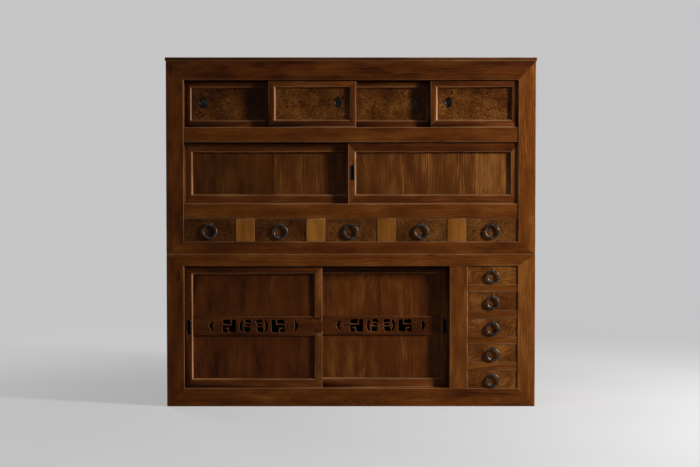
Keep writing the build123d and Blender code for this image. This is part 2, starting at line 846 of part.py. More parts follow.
def carved_rail(left, right, face, panels, bar_end):
    """Carved rail between the stiles at left and right. bar_end is the outer edge of a stile
    that its bar end crosses, or None."""
    near = face + CARVED_RAIL_SETBACK
    tenon_depth = (face + PANEL_RECESS, face + PANEL_RECESS + PANEL_THICKNESS)
    middle = (left + right) / 2
    with BuildPart() as rail:
        block(left, right, near, near + CARVED_RAIL_THICKNESS, carved_low, carved_high)
        chamfer(rail.edges().filter_by(Axis.X).group_by(Axis.Y)[0], CARVED_RAIL_ARRIS)
        for box in carved_tenons(left, right, tenon_depth):
            block(*box)
        if bar_end:
            half_bar = BAR_HEIGHT / 2
            bar_back = face + BAR_DEPTH
            block(right, bar_end, near, bar_back, carved_middle - half_bar, carved_middle + half_bar)
        for box in panels:
            block(*box, mode=Mode.SUBTRACT)
        with BuildSketch(Plane((middle, near, carved_middle), x_dir=(1, 0, 0), z_dir=(0, -1, 0))):
            for shares in SCROLL_VOIDS:
                fret_void(0, FRET_SCROLL, shares)
            fret_key()
            fret_dot(stem_middle - FRET_DOT_SPACING / 2, 0)
            fret_dot(stem_middle + FRET_DOT_SPACING / 2, 0)
            fret_void(crescent_start, FRET_CRESCENT, CRESCENT_VOID)
            mirror(about=Plane.YZ)
            for share in FLOWER_DOTS:
                fret_dot(0, share * fret_half)
        extrude(amount=-CARVED_RAIL_THICKNESS, mode=Mode.SUBTRACT)
    return rail.part


def carved_tenons(left, right, depth):
    """Tenons of a carved rail in the two stiles."""
    z0, z1 = carved_low + TENON_SHOULDER, carved_high - TENON_SHOULDER
    reach = LOWER_DOOR_STILE - DOOR_TENON_INSET
    return [(left - reach, left, *depth, z0, z1), (right, right + reach, *depth, z0, z1)]


def lower_door(name, left, face, shares, bar_crosses, pull_on_left):
    right = left + lower_width
    x0, x1 = left + LOWER_DOOR_STILE, right - LOWER_DOOR_STILE
    panels = [
        panel_box(x0, x1, face, lower_sight[0], carved_low),
        panel_box(x0, x1, face, carved_high, lower_sight[1]),
    ]
    pull_x = (left + x0) / 2 if pull_on_left else (x1 + right) / 2
    pull = (pull_x, lower_pull_z, face, pull_depth, draw_slot)
    recesses = (pull, None) if pull_on_left else (None, pull)
    depth = (face + PANEL_RECESS, face + PANEL_RECESS + PANEL_THICKNESS)
    cuts = carved_tenons(x0, x1, depth)
    if bar_crosses:
        half_slot = BAR_SLOT / 2
        slot_z = (carved_middle - half_slot, carved_middle + half_slot)
        cuts.append((x1, right, face, face + BAR_DEPTH, *slot_z))
    sizes = (LOWER_DOOR_STILE, LOWER_DOOR_BASE_RAIL, LOWER_DOOR_HEAD_RAIL)
    frame = door_frame(left, right, base_top, lower_head, face, *sizes, panels, cuts, recesses)
    boards = [board for box in panels for board in panel_planks(box, shares)]
    save(name, *frame, *boards)
    save(f"{name}_carved_rail", carved_rail(x0, x1, face, panels, right if bar_crosses else None))
    save(f"{name}_pull", finger_cup(*pull))


lower_door("lower_door_left", -inner, front_track, LOWER_LEFT_BOARDS, True, True)
lower_door("lower_door_right", door_limit - lower_width, back_track, LOWER_RIGHT_BOARDS, False, False)


# Drawers: a thick front, two sides let into it, a back tabbed into the sides, and a bottom
drawer_end = rail_plane - DRAWER_BACK_GAP
drawer_inside = drawer_face + DRAWER_FRONT


def staple_slot(x, z):
    """Hole through a drawer front for the legs of its staple."""
    half = STAPLE_WIDTH / 2
    return (x - half, x + half, drawer_face, drawer_inside, z - STAPLE_LEG, z + STAPLE_LEG)


def drawer_box(x0, x1, z0, z1, eye_z):
    """The five boards of a drawer in the opening x0 to x1, z0 to z1."""
    left, right = x0 + DRAWER_SIDE_GAP, x1 - DRAWER_SIDE_GAP
    low, high = z0 + RUN_CLEARANCE, z1 - DRAWER_HEAD_GAP
    side_top = high - DRAWER_SIDE_DROP
    inside_left, inside_right = left + DRAWER_SIDE, right - DRAWER_SIDE
    side_front = drawer_face + DRAWER_LIP
    bottom_low = low + DRAWER_BOTTOM_RISE
    bottom_top = bottom_low + DRAWER_BOTTOM
    bottom = (
        inside_left - DRAWER_BOTTOM_GROOVE,
        inside_right + DRAWER_BOTTOM_GROOVE,
        drawer_inside - DRAWER_BOTTOM_GROOVE,
        drawer_end,
        bottom_low,
        bottom_top,
    )
    third = (side_top - bottom_top) / 3
    tab = (left, right, drawer_end - DRAWER_SIDE, drawer_end, bottom_top + third, side_top - third)
    with BuildPart() as drawer_front:
        block(left, right, drawer_face, drawer_inside, low, high)
        for edge, step in ((left, 1), (right, -1)):
            lap = (edge, edge + step * DRAWER_SIDE, side_front, drawer_inside, low, side_top)
            block(*lap, mode=Mode.SUBTRACT)
        block(*bottom, mode=Mode.SUBTRACT)
        block(*staple_slot((x0 + x1) / 2, eye_z), mode=Mode.SUBTRACT)
    with BuildPart() as left_side:
        block(left, inside_left, side_front, drawer_end, low, side_top)
        block(*bottom, mode=Mode.SUBTRACT)
        block(*tab, mode=Mode.SUBTRACT)
    with BuildPart() as right_side:
        block(inside_right, right, side_front, drawer_end, low, side_top)
        block(*bottom, mode=Mode.SUBTRACT)
        block(*tab, mode=Mode.SUBTRACT)
    with BuildPart() as back_board:
        block(inside_left, inside_right, drawer_end - DRAWER_SIDE, drawer_end, bottom_top, side_top)
        block(*tab)
    return [drawer_front.part, left_side.part, right_side.part, back_board.part, plank(*bottom)]


ring_wire_radius = RING_WIRE / 2
eye_hole = ring_wire_radius + RING_PLAY
eye_y = drawer_face - RING_STANDOFF - ring_wire_radius
eye_turn = 180 / EYE_FACETS
ring_turn = 90 + 180 / RING_FACETS


def staple(x, z):
    """Split staple: an eye round the ring, a seat on the drawer front and two clinched legs."""
    seat_face = drawer_face - SEAT_THICKNESS
    leg = 2 * STAPLE_LEG
    with BuildPart() as iron:
        with BuildSketch(Plane.YZ.offset(x - STAPLE_WIDTH / 2)):
            with Locations((eye_y, z)):
                RegularPolygon(eye_hole + EYE_WALL, EYE_FACETS, major_radius=False, rotation=eye_turn)
            with Locations((seat_face, z)):
                reach = eye_hole + EYE_WALL
                Rectangle(reach, 2 * reach, align=(Align.MIN, Align.CENTER), mode=Mode.SUBTRACT)
            with Locations((seat_face - EYE_WALL, z)):
                length = drawer_inside + CLINCH_THICKNESS - seat_face + EYE_WALL
                Rectangle(length, leg, align=(Align.MIN, Align.CENTER))
            with Locations((drawer_inside, z)):
                clinch = 2 * CLINCH_LENGTH + leg
                Rectangle(CLINCH_THICKNESS, clinch, align=(Align.MIN, Align.CENTER))
            with Locations((eye_y, z)):
                RegularPolygon(
                    eye_hole, EYE_FACETS, major_radius=False, rotation=eye_turn, mode=Mode.SUBTRACT
                )
        extrude(amount=STAPLE_WIDTH)
        with BuildSketch(upright(drawer_face)):
            with Locations((x, z)):
                Rectangle(SEAT_WIDTH, SEAT_WIDTH, rotation=45)
        extrude(amount=SEAT_THICKNESS)
    return iron.part


def ring(x, z, diameter):
    """Round ring that hangs from the eye at z, a little thicker at the bottom."""
    outside = diameter / 2
    centre = z - outside + ring_wire_radius
    with BuildPart() as iron:
        with BuildSketch(upright(eye_y - ring_wire_radius)):
            with Locations((x, centre)):
                RegularPolygon(outside, RING_FACETS, major_radius=False, rotation=ring_turn)
            with Locations((x, centre + RING_TAPER)):
                RegularPolygon(
                    outside - RING_WIRE,
                    RING_FACETS,
                    major_radius=False,
                    rotation=ring_turn,
                    mode=Mode.SUBTRACT,
                )
        extrude(amount=-RING_WIRE)
        rims = iron.edges().group_by(Axis.Y)
        chamfer(rims[0] + rims[-1], RING_BEVEL)
    return iron.part


def drawer(name, x0, x1, z0, z1, ring_diameter):
    middle = (x0 + x1) / 2
    eye_z = (z0 + z1) / 2 - RING_DROP + ring_diameter / 2 - ring_wire_radius
    save(f"{name}_box", *drawer_box(x0, x1, z0, z1, eye_z))
    save(f"{name}_staple", staple(middle, eye_z))
    save(f"{name}_ring", ring(middle, eye_z, ring_diameter))


for number, left in enumerate(small_lefts, 1):
    right = left + small_width
    drawer(f"small_drawer_{number}", left, right, drawer_floor, drawer_head, SMALL_DRAWER_RING)

for number, floor in enumerate(reversed(stack_floors), 1):
    ceiling = floor + stack_height
    drawer(f"stack_drawer_{number}", stack_left, inner, floor, ceiling, STACK_DRAWER_RING)
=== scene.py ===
# %% [markdown]
# A kitchen chest in two parts, dressed for a picture
#
# The real chest is a lower case with doors and a stack of drawers, and an upper case that stands
# on it. Its solids come ready from the CAD model, in metres, with the front towards -Y. Modelling
# them again in Blender would only drift from the true sizes, so this lesson keeps them. It gives
# each one its finish, and makes finer iron, carving and edges where the eye comes close.

import math
import random

import bmesh
import bpy
from mathutils import Matrix, Vector, noise


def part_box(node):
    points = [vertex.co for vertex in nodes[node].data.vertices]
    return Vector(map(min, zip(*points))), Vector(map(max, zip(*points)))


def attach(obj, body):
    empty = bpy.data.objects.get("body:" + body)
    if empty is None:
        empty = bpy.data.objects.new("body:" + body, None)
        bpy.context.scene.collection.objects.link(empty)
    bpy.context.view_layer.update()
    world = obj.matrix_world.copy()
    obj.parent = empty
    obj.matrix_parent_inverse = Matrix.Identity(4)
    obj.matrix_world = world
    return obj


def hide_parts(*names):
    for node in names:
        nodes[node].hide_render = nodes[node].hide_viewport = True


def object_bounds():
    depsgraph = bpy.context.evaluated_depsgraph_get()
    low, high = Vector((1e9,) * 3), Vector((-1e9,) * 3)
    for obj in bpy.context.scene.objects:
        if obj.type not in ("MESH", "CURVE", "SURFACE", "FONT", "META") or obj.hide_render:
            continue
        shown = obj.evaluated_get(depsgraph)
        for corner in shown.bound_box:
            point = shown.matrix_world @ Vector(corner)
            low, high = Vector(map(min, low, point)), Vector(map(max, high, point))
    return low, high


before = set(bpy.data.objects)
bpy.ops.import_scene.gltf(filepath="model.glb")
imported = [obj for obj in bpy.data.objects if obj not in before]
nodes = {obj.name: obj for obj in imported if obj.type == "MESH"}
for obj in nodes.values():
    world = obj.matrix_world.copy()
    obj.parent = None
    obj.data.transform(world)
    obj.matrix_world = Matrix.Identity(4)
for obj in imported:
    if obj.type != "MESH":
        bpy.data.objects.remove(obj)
cad_low, cad_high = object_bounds()
print("CAD box", [round(v, 4) for v in (*cad_low, *cad_high)], "nodes", len(nodes))

# %% [markdown]
# A finish is a small machine of linked nodes: growth rings, fibres and stains are sums of clouds
# and waves. The nodes could be linked one by one, in many lines that hide the idea. Here a class
# wraps a socket instead, so that a plain sum or product adds its Math node, and 1 - mask works
# as well.


# %% Sockets with operators
def operator(operation):
    """The method of an operator, and the one for its reflected form."""

    def forward(self, other):
        return self.finish.node("ShaderNodeMath", {"operation": operation}, (self, other))

    def reflected(self, other):
        return self.finish.node("ShaderNodeMath", {"operation": operation}, (other, self))

    return forward, reflected


class Sock:
    """A socket that can be used in sums, and that knows which finish it belongs to."""

    def __init__(self, finish, socket):
        self.finish = finish
        self.socket = socket

    __add__, __radd__ = operator("ADD")
    __sub__, __rsub__ = operator("SUBTRACT")
    __mul__, __rmul__ = operator("MULTIPLY")
    __truediv__, __rtruediv__ = operator("DIVIDE")
    __pow__, __rpow__ = operator("POWER")

    def maths(self, operation):
        return self.finish.node("ShaderNodeMath", {"operation": operation}, (self,))


print("a socket can be added, subtracted, multiplied, divided and raised to a power")

# %% [markdown]
# Every other node comes from one method. It takes the node's type, its settings, and the values
# or links of its sockets. The settings go in first, because some of them change which sockets
# there are. The same class serves a material and the world, which both have a tree of nodes.


# %% Finishes
class Finish:
    """The nodes of a material or of the world, and the method that adds one."""

    def __init__(self, owner):
        owner.use_nodes = True
        self.owner = owner
        self.tree = owner.node_tree
        self.tree.nodes.clear()

    def node(self, kind, settings=None, sockets=(), out=0):
        """Add a node, and give back the output that is asked for, where it has any."""
        node = self.tree.nodes.new(kind)
        for key, value in (settings or {}).items():
            if key == "stops":
                self.stop(node.color_ramp, value)
            else:
                setattr(node, key, value)
        for key, value in sockets.items() if isinstance(sockets, dict) else enumerate(sockets):
            self.feed(self.find(node.inputs, key), value)
        return Sock(self, self.find(node.outputs, out)) if node.outputs else None

    def stop(self, ramp, stops):
        while len(ramp.elements) < len(stops):
            ramp.elements.new(0.5)
        for element, (place, colour) in zip(ramp.elements, stops):
            element.position = place
            element.color = (*colour, 1.0)

    def find(self, sockets, key):
        if isinstance(key, int):
            return sockets[key]
        return next(s for s in sockets if key in (s.identifier, s.name))

    def feed(self, socket, value):
        if isinstance(value, Sock):
            self.tree.links.new(value.socket, socket)
        elif socket.type == "RGBA":
            socket.default_value = (*value, 1.0)
        else:
            socket.default_value = value


def surface(finish, **values):
    """End a material in its surface shader, with _ for each space in a socket's name."""
    sockets = {key.replace("_", " "): value for key, value in values.items()}
    shader = finish.node("ShaderNodeBsdfPrincipled", sockets=sockets)
    finish.node("ShaderNodeOutputMaterial", sockets={"Surface": shader})
    return finish.owner


print("finishes can be mixed from nodes")

# %% [markdown]
# Every board of the real chest was sawn from its own place in a tree. An unwrapped texture would
# bend the grain round the corners of a solid, so each face carries attributes instead. "grain" is
# a point in the tree (along the trunk, across it, through it), "tone" says how pale that board
# is, and "from_edge" is the distance to an edge that hands rub. Where a face lies tells which
# board it is on.

# %% Sort faces into boards
finishes = {}
trunk_length, trunk_spread = 4.0, 0.3
far_from_edge = 1.0
attributes = {"grain": "FLOAT_VECTOR", "tone": "FLOAT", "from_edge": "FLOAT"}


def board(finish, key, axis, tone=None, edge=None):
    return {"finish": finish, "key": key, "axis": axis, "tone": tone, "edge": edge}


def tree_point(point, axis, shift):
    """A point of a board as a point of the tree that it was sawn from."""
    x, y, z = point
    along, across, through = {"X": (x, z, y), "Y": (y, x, z), "Z": (z, x, y)}[axis]
    return (
        along + trunk_length * shift[0],
        across + trunk_spread * (shift[1] - 0.5),
        through + trunk_spread * shift[2],
    )


def mark_boards(mesh, name, sort):
    """Give every face of a mesh its board: finish, grain, tone and rubbed edge."""
    for key, kind in attributes.items():
        mesh.attributes.new(key, kind, "CORNER")
    grain, tone, from_edge = (mesh.attributes[key].data for key in attributes)
    used, order = [], []
    for face in mesh.polygons:
        part = sort(face.center, face.normal)
        if part["finish"] not in used:
            used.append(part["finish"])
        order.append(used.index(part["finish"]))
        seed = random.Random(f"{name} {part['key']}")
        shift = [seed.random() for _ in range(4)]
        for loop in face.loop_indices:
            point = mesh.vertices[mesh.loops[loop].vertex_index].co
            grain[loop].vector = tree_point(point, part["axis"], shift)
            tone[loop].value = shift[3] if part["tone"] is None else part["tone"]
            from_edge[loop].value = part["edge"](point) if part["edge"] else far_from_edge
    mesh.materials.clear()
    for finish in used:
        mesh.materials.append(finishes[finish])
    mesh.polygons.foreach_set("material_index", order)


print("boards are told apart by their place, and carry", list(attributes))

# %% [markdown]
# Nothing in wood is even: stains, fibres and pores all follow clouds that are drawn out along the
# grain. A photograph of wood would fix them to one board, so Noise nodes make them from a point in
# the tree. A cloud runs from nought to one, so cloud - 0.5 swings to both sides of nought, and a
# smooth step turns a cloud into spots.


# %% Cloud tools
def vector(x, y, z):
    return x.finish.node("ShaderNodeCombineXYZ", sockets=(x, y, z))


def parts(place):
    split = place.finish.node("ShaderNodeSeparateXYZ", sockets=(place,))
    return [Sock(place.finish, socket) for socket in split.socket.node.outputs]


def cloud(place, scale, detail=2.0, rough=0.5, warp=0.0):
    sockets = {"Vector": place, "Scale": scale, "Detail": detail, "Roughness": rough}
    sockets["Distortion"] = warp
    return place.finish.node("ShaderNodeTexNoise", {"noise_dimensions": "3D"}, sockets, "Fac")


def span(value, low, high):
    """Nought below the low value, one above the high one, and a smooth step between them."""
    settings = {"interpolation_type": "SMOOTHSTEP"}
    return value.finish.node("ShaderNodeMapRange", settings, (value, low, high, 0.0, 1.0))


def grain_cloud(grain, lengthwise, crosswise, detail=2.0, rough=0.5):
    """A cloud drawn out along the grain: how many to the metre along it and across it."""
    along, across, through = grain
    place = vector(along * lengthwise, across * crosswise, through * crosswise)
    return cloud(place, 1.0, detail, rough)


print("clouds can be drawn out along the grain")

# %% [markdown]
# Wood is drawn from the tree outwards. Growth rings are circles round a pith that sways along the
# trunk, so a board cut near the pith shows arches and one cut far away shows straight lines. A
# Wave node is quicker, but its bands never make arches. Each ring ends in dark late wood.

# %% Growth rings
pith_sway, pith_lift, trunk_lean = 0.07, 0.20, 0.05
ring_wobble, fat_year, years_to_metre = 1.1, 4.0, 36.0
late_wood_power, early_wood_power = 2.2, 6.0
faintest_ring = 0.25


def growth_rings(grain, tone, spacing):
    """The dark late wood and the pale early wood of each year's ring."""
    along, across, through = grain
    sway = grain_cloud(grain, 1.6, 3.0, 1.0) - 0.5
    lift = cloud(vector(along * 1.2, across * 2.0 + 7.0, through), 1.0) - 0.5
    side = across + sway * pith_sway
    depth = through + along * trunk_lean + lift * pith_lift
    from_pith = (side * side + depth * depth).maths("SQRT")
    wobble = grain_cloud(grain, 5.0, 40.0) - 0.5
    growth = cloud(vector(from_pith * years_to_metre, along * 0.5, tone), 1.0) - 0.5
    year = (from_pith / spacing + wobble * ring_wobble + growth * fat_year).maths("FRACT")
    strong = span(grain_cloud(grain, 1.5, 12.0), 0.3, 0.7)
    late_wood = year**late_wood_power * (faintest_ring + (1.0 - faintest_ring) * strong)
    return late_wood, (1.0 - year) ** early_wood_power * strong


print("growth rings, with late wood to the power", late_wood_power)

# %% [markdown]
# Knots are the roots of branches: dark spots, far apart, drawn out along the grain. A cell pattern
# places them, because each cell has one middle. The upright boards of the back meet in dark
# joints, which are only lines at even steps, so they are worked out from the place and need no
# geometry.

# %% Knots and joints
knots_along, knots_across = 2.4, 6.0
knot_core, knot_edge = 0.035, 0.085
joint_half, joint_fade = 0.0005, 0.0018


def knots(grain, fibre):
    along, across, through = grain
    place = vector(along * knots_along + 0.3, across * knots_across, through * knots_across)
    cells = {"Vector": place, "Scale": 1.0}
    bud = fibre.finish.node("ShaderNodeTexVoronoi", {"feature": "F1"}, cells, "Distance")
    return 1.0 - span(bud + (fibre - 0.5) * 0.04, knot_core, knot_edge)


def board_joints(wood, first, pitch):
    """One on the lines where upright boards meet, nought elsewhere."""
    x, _, _ = parts(wood.node("ShaderNodeTexCoord", out="Object"))
    off_joint = (((x - first) / pitch + 0.5).maths("FRACT") - 0.5).maths("ABSOLUTE") * pitch
    return 1.0 - span(off_joint, joint_half, joint_fade)


print("joints between back boards", 2 * joint_half, "m wide")

# %% [markdown]
# A finish reads a board's attributes, turns a level into a colour, lays one colour over another,
# and dents the surface. A Math node would turn a colour grey, so colours go through a ramp or a
# Mix node, and a Bump node turns a height into a slope that the light shows.


# %% Colour tools
def attribute(finish, name, out="Fac"):
    return finish.node("ShaderNodeAttribute", {"attribute_name": name}, out=out)


def shade(level, shades, middle):
    """A ramp from the dark shade through the middle one to the pale one."""
    stops = list(zip((0.0, middle, 1.0), shades))
    return level.finish.node("ShaderNodeValToRGB", {"stops": stops}, (level,), "Color")


def blend(amount, first, second):
    settings = {"data_type": "RGBA", "blend_type": "MIX"}
    sockets = {"Factor_Float": amount, "A_Color": first, "B_Color": second}
    return amount.finish.node("ShaderNodeMix", settings, sockets, "Result_Color")


def bump(height, strength, distance):
    sockets = {"Height": height, "Strength": strength, "Distance": distance}
    return height.finish.node("ShaderNodeBump", sockets=sockets)


print("colours can be shaded and blended, and heights felt")

# %% [markdown]
# Over the rings lie fibres, pores and the dark clouds of old lacquer. All of them push one level
# up or down, and a ramp of three shades turns that level into a colour, so no two boards need a
# picture of their own. Lacquer is a thin coat with a soft shine. On a door's outer edges hands
# have rubbed it off, so there the colour goes over to bare wood.

# %% Lacquered wood
lacquer_coat, lacquer_rough, coat_rough, wood_shine = 0.045, 0.42, 0.16, 0.035
fibre_share, streak_share, tone_share, pore_share = 0.56, 0.46, 0.62, 0.14
early_share, knot_share, joint_share = 0.9, 1.2, 0.9
rubbed_line = (0.0012, 0.0030)
wood_bump = 0.3


def lacquered_wood(
    name,
    shades,
    spacing,
    ring_depth,
    rough=lacquer_rough,
    coat=lacquer_coat,
    smoky=1.15,
    joints=None,
    rubbed=None,
):
    wood = Finish(bpy.data.materials.new(name))
    grain = parts(attribute(wood, "grain", "Vector"))
    tone = attribute(wood, "tone")
    late_wood, early_wood = growth_rings(grain, tone, spacing)
    fibre = grain_cloud(grain, 12.0, 520.0, 3.0, 0.6)
    pores = span(grain_cloud(grain, 55.0, 1300.0, 1.0), 0.64, 0.74)
    streak = grain_cloud(grain, 1.2, 34.0, 3.0)
    smoke = grain_cloud(grain, 4.5, 15.0, 4.0, 0.62)
    level = 0.50 + (fibre - 0.5) * fibre_share + (streak - 0.5) * streak_share
    level = level + (smoke - 0.5) * smoky + (tone - 0.5) * tone_share
    level = level - late_wood * ring_depth + early_wood * (ring_depth * early_share)
    level = level - pores * pore_share - knots(grain, fibre) * (ring_depth * knot_share)
    height = fibre * 0.5 + late_wood * 0.3 - pores * 0.6
    if joints:
        joint = board_joints(wood, *joints)
        level = level - joint * joint_share
        height = height - joint * 3.0
    colour = shade(level, shades, 0.52)
    if rubbed:
        kept = span(attribute(wood, "from_edge") + (fibre - 0.5) * 0.0012, *rubbed_line)
        colour = blend(kept, rubbed, colour)
    return surface(
        wood,
        Base_Color=colour,
        Roughness=rough + (fibre - 0.5) * 0.2 + (smoke - 0.5) * 0.2,
        Coat_Weight=coat,
        Coat_Roughness=coat_rough,
        Specular_IOR_Level=wood_shine,
        Normal=bump(height, wood_bump, 0.0004),
    )


print("lacquered wood with a coat of", lacquer_coat)

# %% [markdown]
# The frames are one red-brown wood, the doors are darker, and the posts between the small drawers
# are honey-coloured. Shelves, drawer boxes and the back were never lacquered. One recipe serves
# for all: the first table has each wood's dark, middle and pale shade, and the second the width of
# a year's ring, how strongly the rings show, and what else is particular to it.

# %% Shades of the woods
first_back_joint, back_board_width = -0.822, 1.644 / 7
# The shades of the arrises are pale for wear and for a painted highlight along the edges.
wood_shades = {
    "frame_wood": ((0.030, 0.0056, 0.0008), (0.120, 0.0335, 0.0045), (0.28, 0.105, 0.021)),
    "door_frame_wood": ((0.022, 0.0042, 0.0007), (0.088, 0.0225, 0.0036), (0.22, 0.076, 0.016)),
    "door_plank_wood": ((0.024, 0.0047, 0.0009), (0.096, 0.0252, 0.004), (0.23, 0.085, 0.018)),
    "figured_plank_wood": ((0.022, 0.0052, 0.001), (0.098, 0.0295, 0.005), (0.28, 0.115, 0.027)),
    "honey_wood": ((0.080, 0.024, 0.003), (0.190, 0.066, 0.009), (0.32, 0.130, 0.024)),
    "side_panel_wood": ((0.027, 0.006, 0.0012), (0.105, 0.030, 0.0055), (0.25, 0.095, 0.024)),
    "top_board_wood": ((0.016, 0.005, 0.0016), (0.062, 0.020, 0.005), (0.16, 0.060, 0.016)),
    "worn_arris": ((0.060, 0.020, 0.005), (0.190, 0.085, 0.033), (0.40, 0.22, 0.115)),
    "bare_cedar": ((0.16, 0.085, 0.04), (0.36, 0.22, 0.115), (0.56, 0.39, 0.23)),
    "back_board_cedar": ((0.13, 0.062, 0.027), (0.33, 0.19, 0.095), (0.54, 0.36, 0.21)),
}
bare = {"rough": 0.72, "coat": 0.0, "smoky": 0.5}
rubbed_door = {"rubbed": (0.24, 0.12, 0.055)}
joined_back = {"joints": (first_back_joint, back_board_width), **bare}
woods = {
    "frame": ("frame_wood", 0.0085, 0.22, {}),
    "door_frame": ("door_frame_wood", 0.008, 0.20, rubbed_door),
    "plank": ("door_plank_wood", 0.0095, 0.22, {}),
    "figured": ("figured_plank_wood", 0.0088, 0.30, {}),
    "honey": ("honey_wood", 0.010, 0.12, {}),
    "side": ("side_panel_wood", 0.010, 0.28, {}),
    "top": ("top_board_wood", 0.010, 0.26, {}),
    "worn": ("worn_arris", 0.010, 0.10, {}),
    "bare": ("bare_cedar", 0.011, 0.30, bare),
    "back": ("back_board_cedar", 0.011, 0.30, joined_back),
}
for finish, (name, spacing, ring_depth, more) in woods.items():
    finishes[finish] = lacquered_wood(name, wood_shades[name], spacing, ring_depth, **more)
print("lacquered and bare woods", sorted(finishes))

# %% [markdown]
# Burl is cut from a swelling where the grain turns round hundreds of buds, and the joiner keeps it
# for the small doors and the drawer fronts. Rings would be wrong here. Contour lines of a warped
# cloud give the ripples, and a warped cell pattern gives the eyes.

# %% Burl
ripple_lines, ripple_share, eye_share = 15.0, 0.46, 0.26
speck_share, smoke_share, burl_tone_share = 0.36, 1.2, 0.4


def swirled(grain, size):
    """The grain's points pushed about by a coloured cloud."""
    wood = grain.finish
    sockets = {"Vector": grain, "Scale": 16.0 / size, "Detail": 2.0}
    swirl = wood.node("ShaderNodeTexNoise", {"noise_dimensions": "3D"}, sockets, "Color")
    sockets = {"Vector": swirl, "Scale": 0.05 * size}
    push = wood.node("ShaderNodeVectorMath", {"operation": "SCALE"}, sockets)
    return wood.node("ShaderNodeVectorMath", {"operation": "ADD"}, (grain, push))


def burl_wood(name, shades, size, figure):
    wood = Finish(bpy.data.materials.new(name))
    grain, tone = attribute(wood, "grain", "Vector"), attribute(wood, "tone")
    place = swirled(grain, size)
    contour = (cloud(place, 20.0 / size, 3.0, 0.55, 0.8) * ripple_lines).maths("FRACT")
    ripple = span((contour - 0.5).maths("ABSOLUTE"), 0.03, 0.45)
    cells = {"Vector": place, "Scale": 48.0 / size}
    bud = wood.node("ShaderNodeTexVoronoi", {"feature": "F1"}, cells, "Distance")
    eyes = 1.0 - span(bud, 0.04, 0.36)
    speck = cloud(place, 360.0, 2.0, 0.6)
    smoke = cloud(grain, 9.0, 3.0, 0.6)
    level = 0.46 + (ripple - 0.5) * (ripple_share * figure) - eyes * (eye_share * figure)
    level = level + (speck - 0.5) * speck_share + (smoke - 0.5) * smoke_share
    level = level + (tone - 0.5) * burl_tone_share
    height = ripple * 0.4 + speck * 0.4 - eyes * 0.3
    return surface(
        wood,
        Base_Color=shade(level, shades, 0.5),
        Roughness=0.36 + (speck - 0.5) * 0.25,
        Coat_Weight=lacquer_coat,
        Coat_Roughness=coat_rough,
        Specular_IOR_Level=wood_shine,
        Normal=bump(height, wood_bump, 0.0005),
    )


burl_shades = {
    "burl_panel": ((0.015, 0.0034, 0.0006), (0.084, 0.0248, 0.0038), (0.25, 0.100, 0.021)),
    "small_drawer_burl": ((0.015, 0.0037, 0.0007), (0.082, 0.0252, 0.0045), (0.23, 0.092, 0.021)),
    "stack_drawer_figure": ((0.026, 0.0065, 0.0011), (0.112, 0.0345, 0.0056), (0.30, 0.117, 0.024)),
}
burls = {
    "burl": ("burl_panel", 1.0, 1.0),
    "small_front": ("small_drawer_burl", 0.8, 1.0),
    "stack_front": ("stack_drawer_figure", 2.4, 0.5),
}
for finish, (name, size, figure) in burls.items():
    finishes[finish] = burl_wood(name, burl_shades[name], size, figure)
print("finishes with burl", len(finishes))

# %% [markdown]
# The fittings are iron, blackened with oil or lacquer. The rings are forged: hammer marks dent
# them, and the black wears to grey where fingers rub. The finger cups are pressed from sheet, and
# their iron is blacker and duller than the rings': a painted shade for the hollows of the cups. A
# plain black would lose the metal, so wear and rust follow clouds, and the dents are a bump.

# %% Black iron
rust_brown, rust_share = (0.060, 0.026, 0.012), 0.4
metal_share, iron_bump = 0.9, 0.12


def black_iron(name, black, rubbed, rough):
    iron = Finish(bpy.data.materials.new(name))
    place = iron.node("ShaderNodeTexCoord", out="Object")
    dents = cloud(place, 140.0)
    wear = span(cloud(place, 60.0, 4.0, 0.6), 0.42, 0.80)
    grit = cloud(place, 900.0, 2.0, 0.6)
    rust = span(cloud(place, 38.0, 3.0, 0.6), 0.60, 0.78)
    return surface(
        iron,
        Base_Color=blend(rust * rust_share, blend(wear, black, rubbed), rust_brown),
        Metallic=metal_share,
        Roughness=rough - wear * 0.06 + (grit - 0.5) * 0.10,
        Normal=bump(dents * 0.8 + grit * 0.12, iron_bump, 0.0006),
    )


# The cups' darker iron is a painted shade for their hollows.
irons = {
    "iron": ("forged_black_iron", (0.026, 0.0247, 0.0239), (0.120, 0.112, 0.105), 0.34),
    "cup_iron": ("pressed_black_iron", (0.008, 0.0077, 0.0074), (0.036, 0.034, 0.032), 0.33),
}
for finish, recipe in irons.items():
    finishes[finish] = black_iron(*recipe)
print("finishes with iron", len(finishes))

# %% [markdown]
# Each door is a mitred frame round a panel of several boards. The CAD model has one solid for
# each, but the sorting works on a whole node, so a small function asks how deep a point lies from
# each of the four sides: the side that it is nearest to, by the width of that member, is the
# member that it lies on.

# %% Members of a door
door_sizes = {
    "top": (0.033, 0.036, 0.030),
    "middle": (0.038, 0.044, 0.044),
    "lower": (0.040, 0.044, 0.034),
}
foot_tongue, head_tongue = 0.0057, 0.0092


def door_depths(point, low, high):
    """How far a point of a door lies inside each of its four visible edges."""
    return {
        "left": point.x - low.x,
        "right": high.x - point.x,
        "base": point.z - low.z - foot_tongue,
        "head": high.z - head_tongue - point.z,
    }


def door_member(point, low, high, kind):
    stile, base, head = door_sizes[kind]
    widths = {"left": stile, "right": stile, "base": base, "head": head}
    shares = {side: depth / widths[side] for side, depth in door_depths(point, low, high).items()}
    member = min(shares, key=shares.get)
    return member if shares[member] < 1.0 else "panel"


print("stile, base rail and head rail of a lower door", door_sizes["lower"])

# %% [markdown]
# Round every panel runs a chamfer. The chamfers of each left stile and each base rail take the
# pale finish of the arrises: a painted highlight where the light from the right falls, bright on
# the stile and faint on the base rail, whose tone is low. The faces of the frame know how far they
# are from the door's edge, for the rubbed line there, and each board of a panel has a tone of its
# own.

# %% Doors
facing, nearly_facing, slanting = 0.95, 0.9, 0.3
# The base chamfer's low tone keeps its painted highlight faint.
chamfer_tone, base_chamfer_tone = 0.70, 0.15
panel_depths = (0.0105, 0.0205)


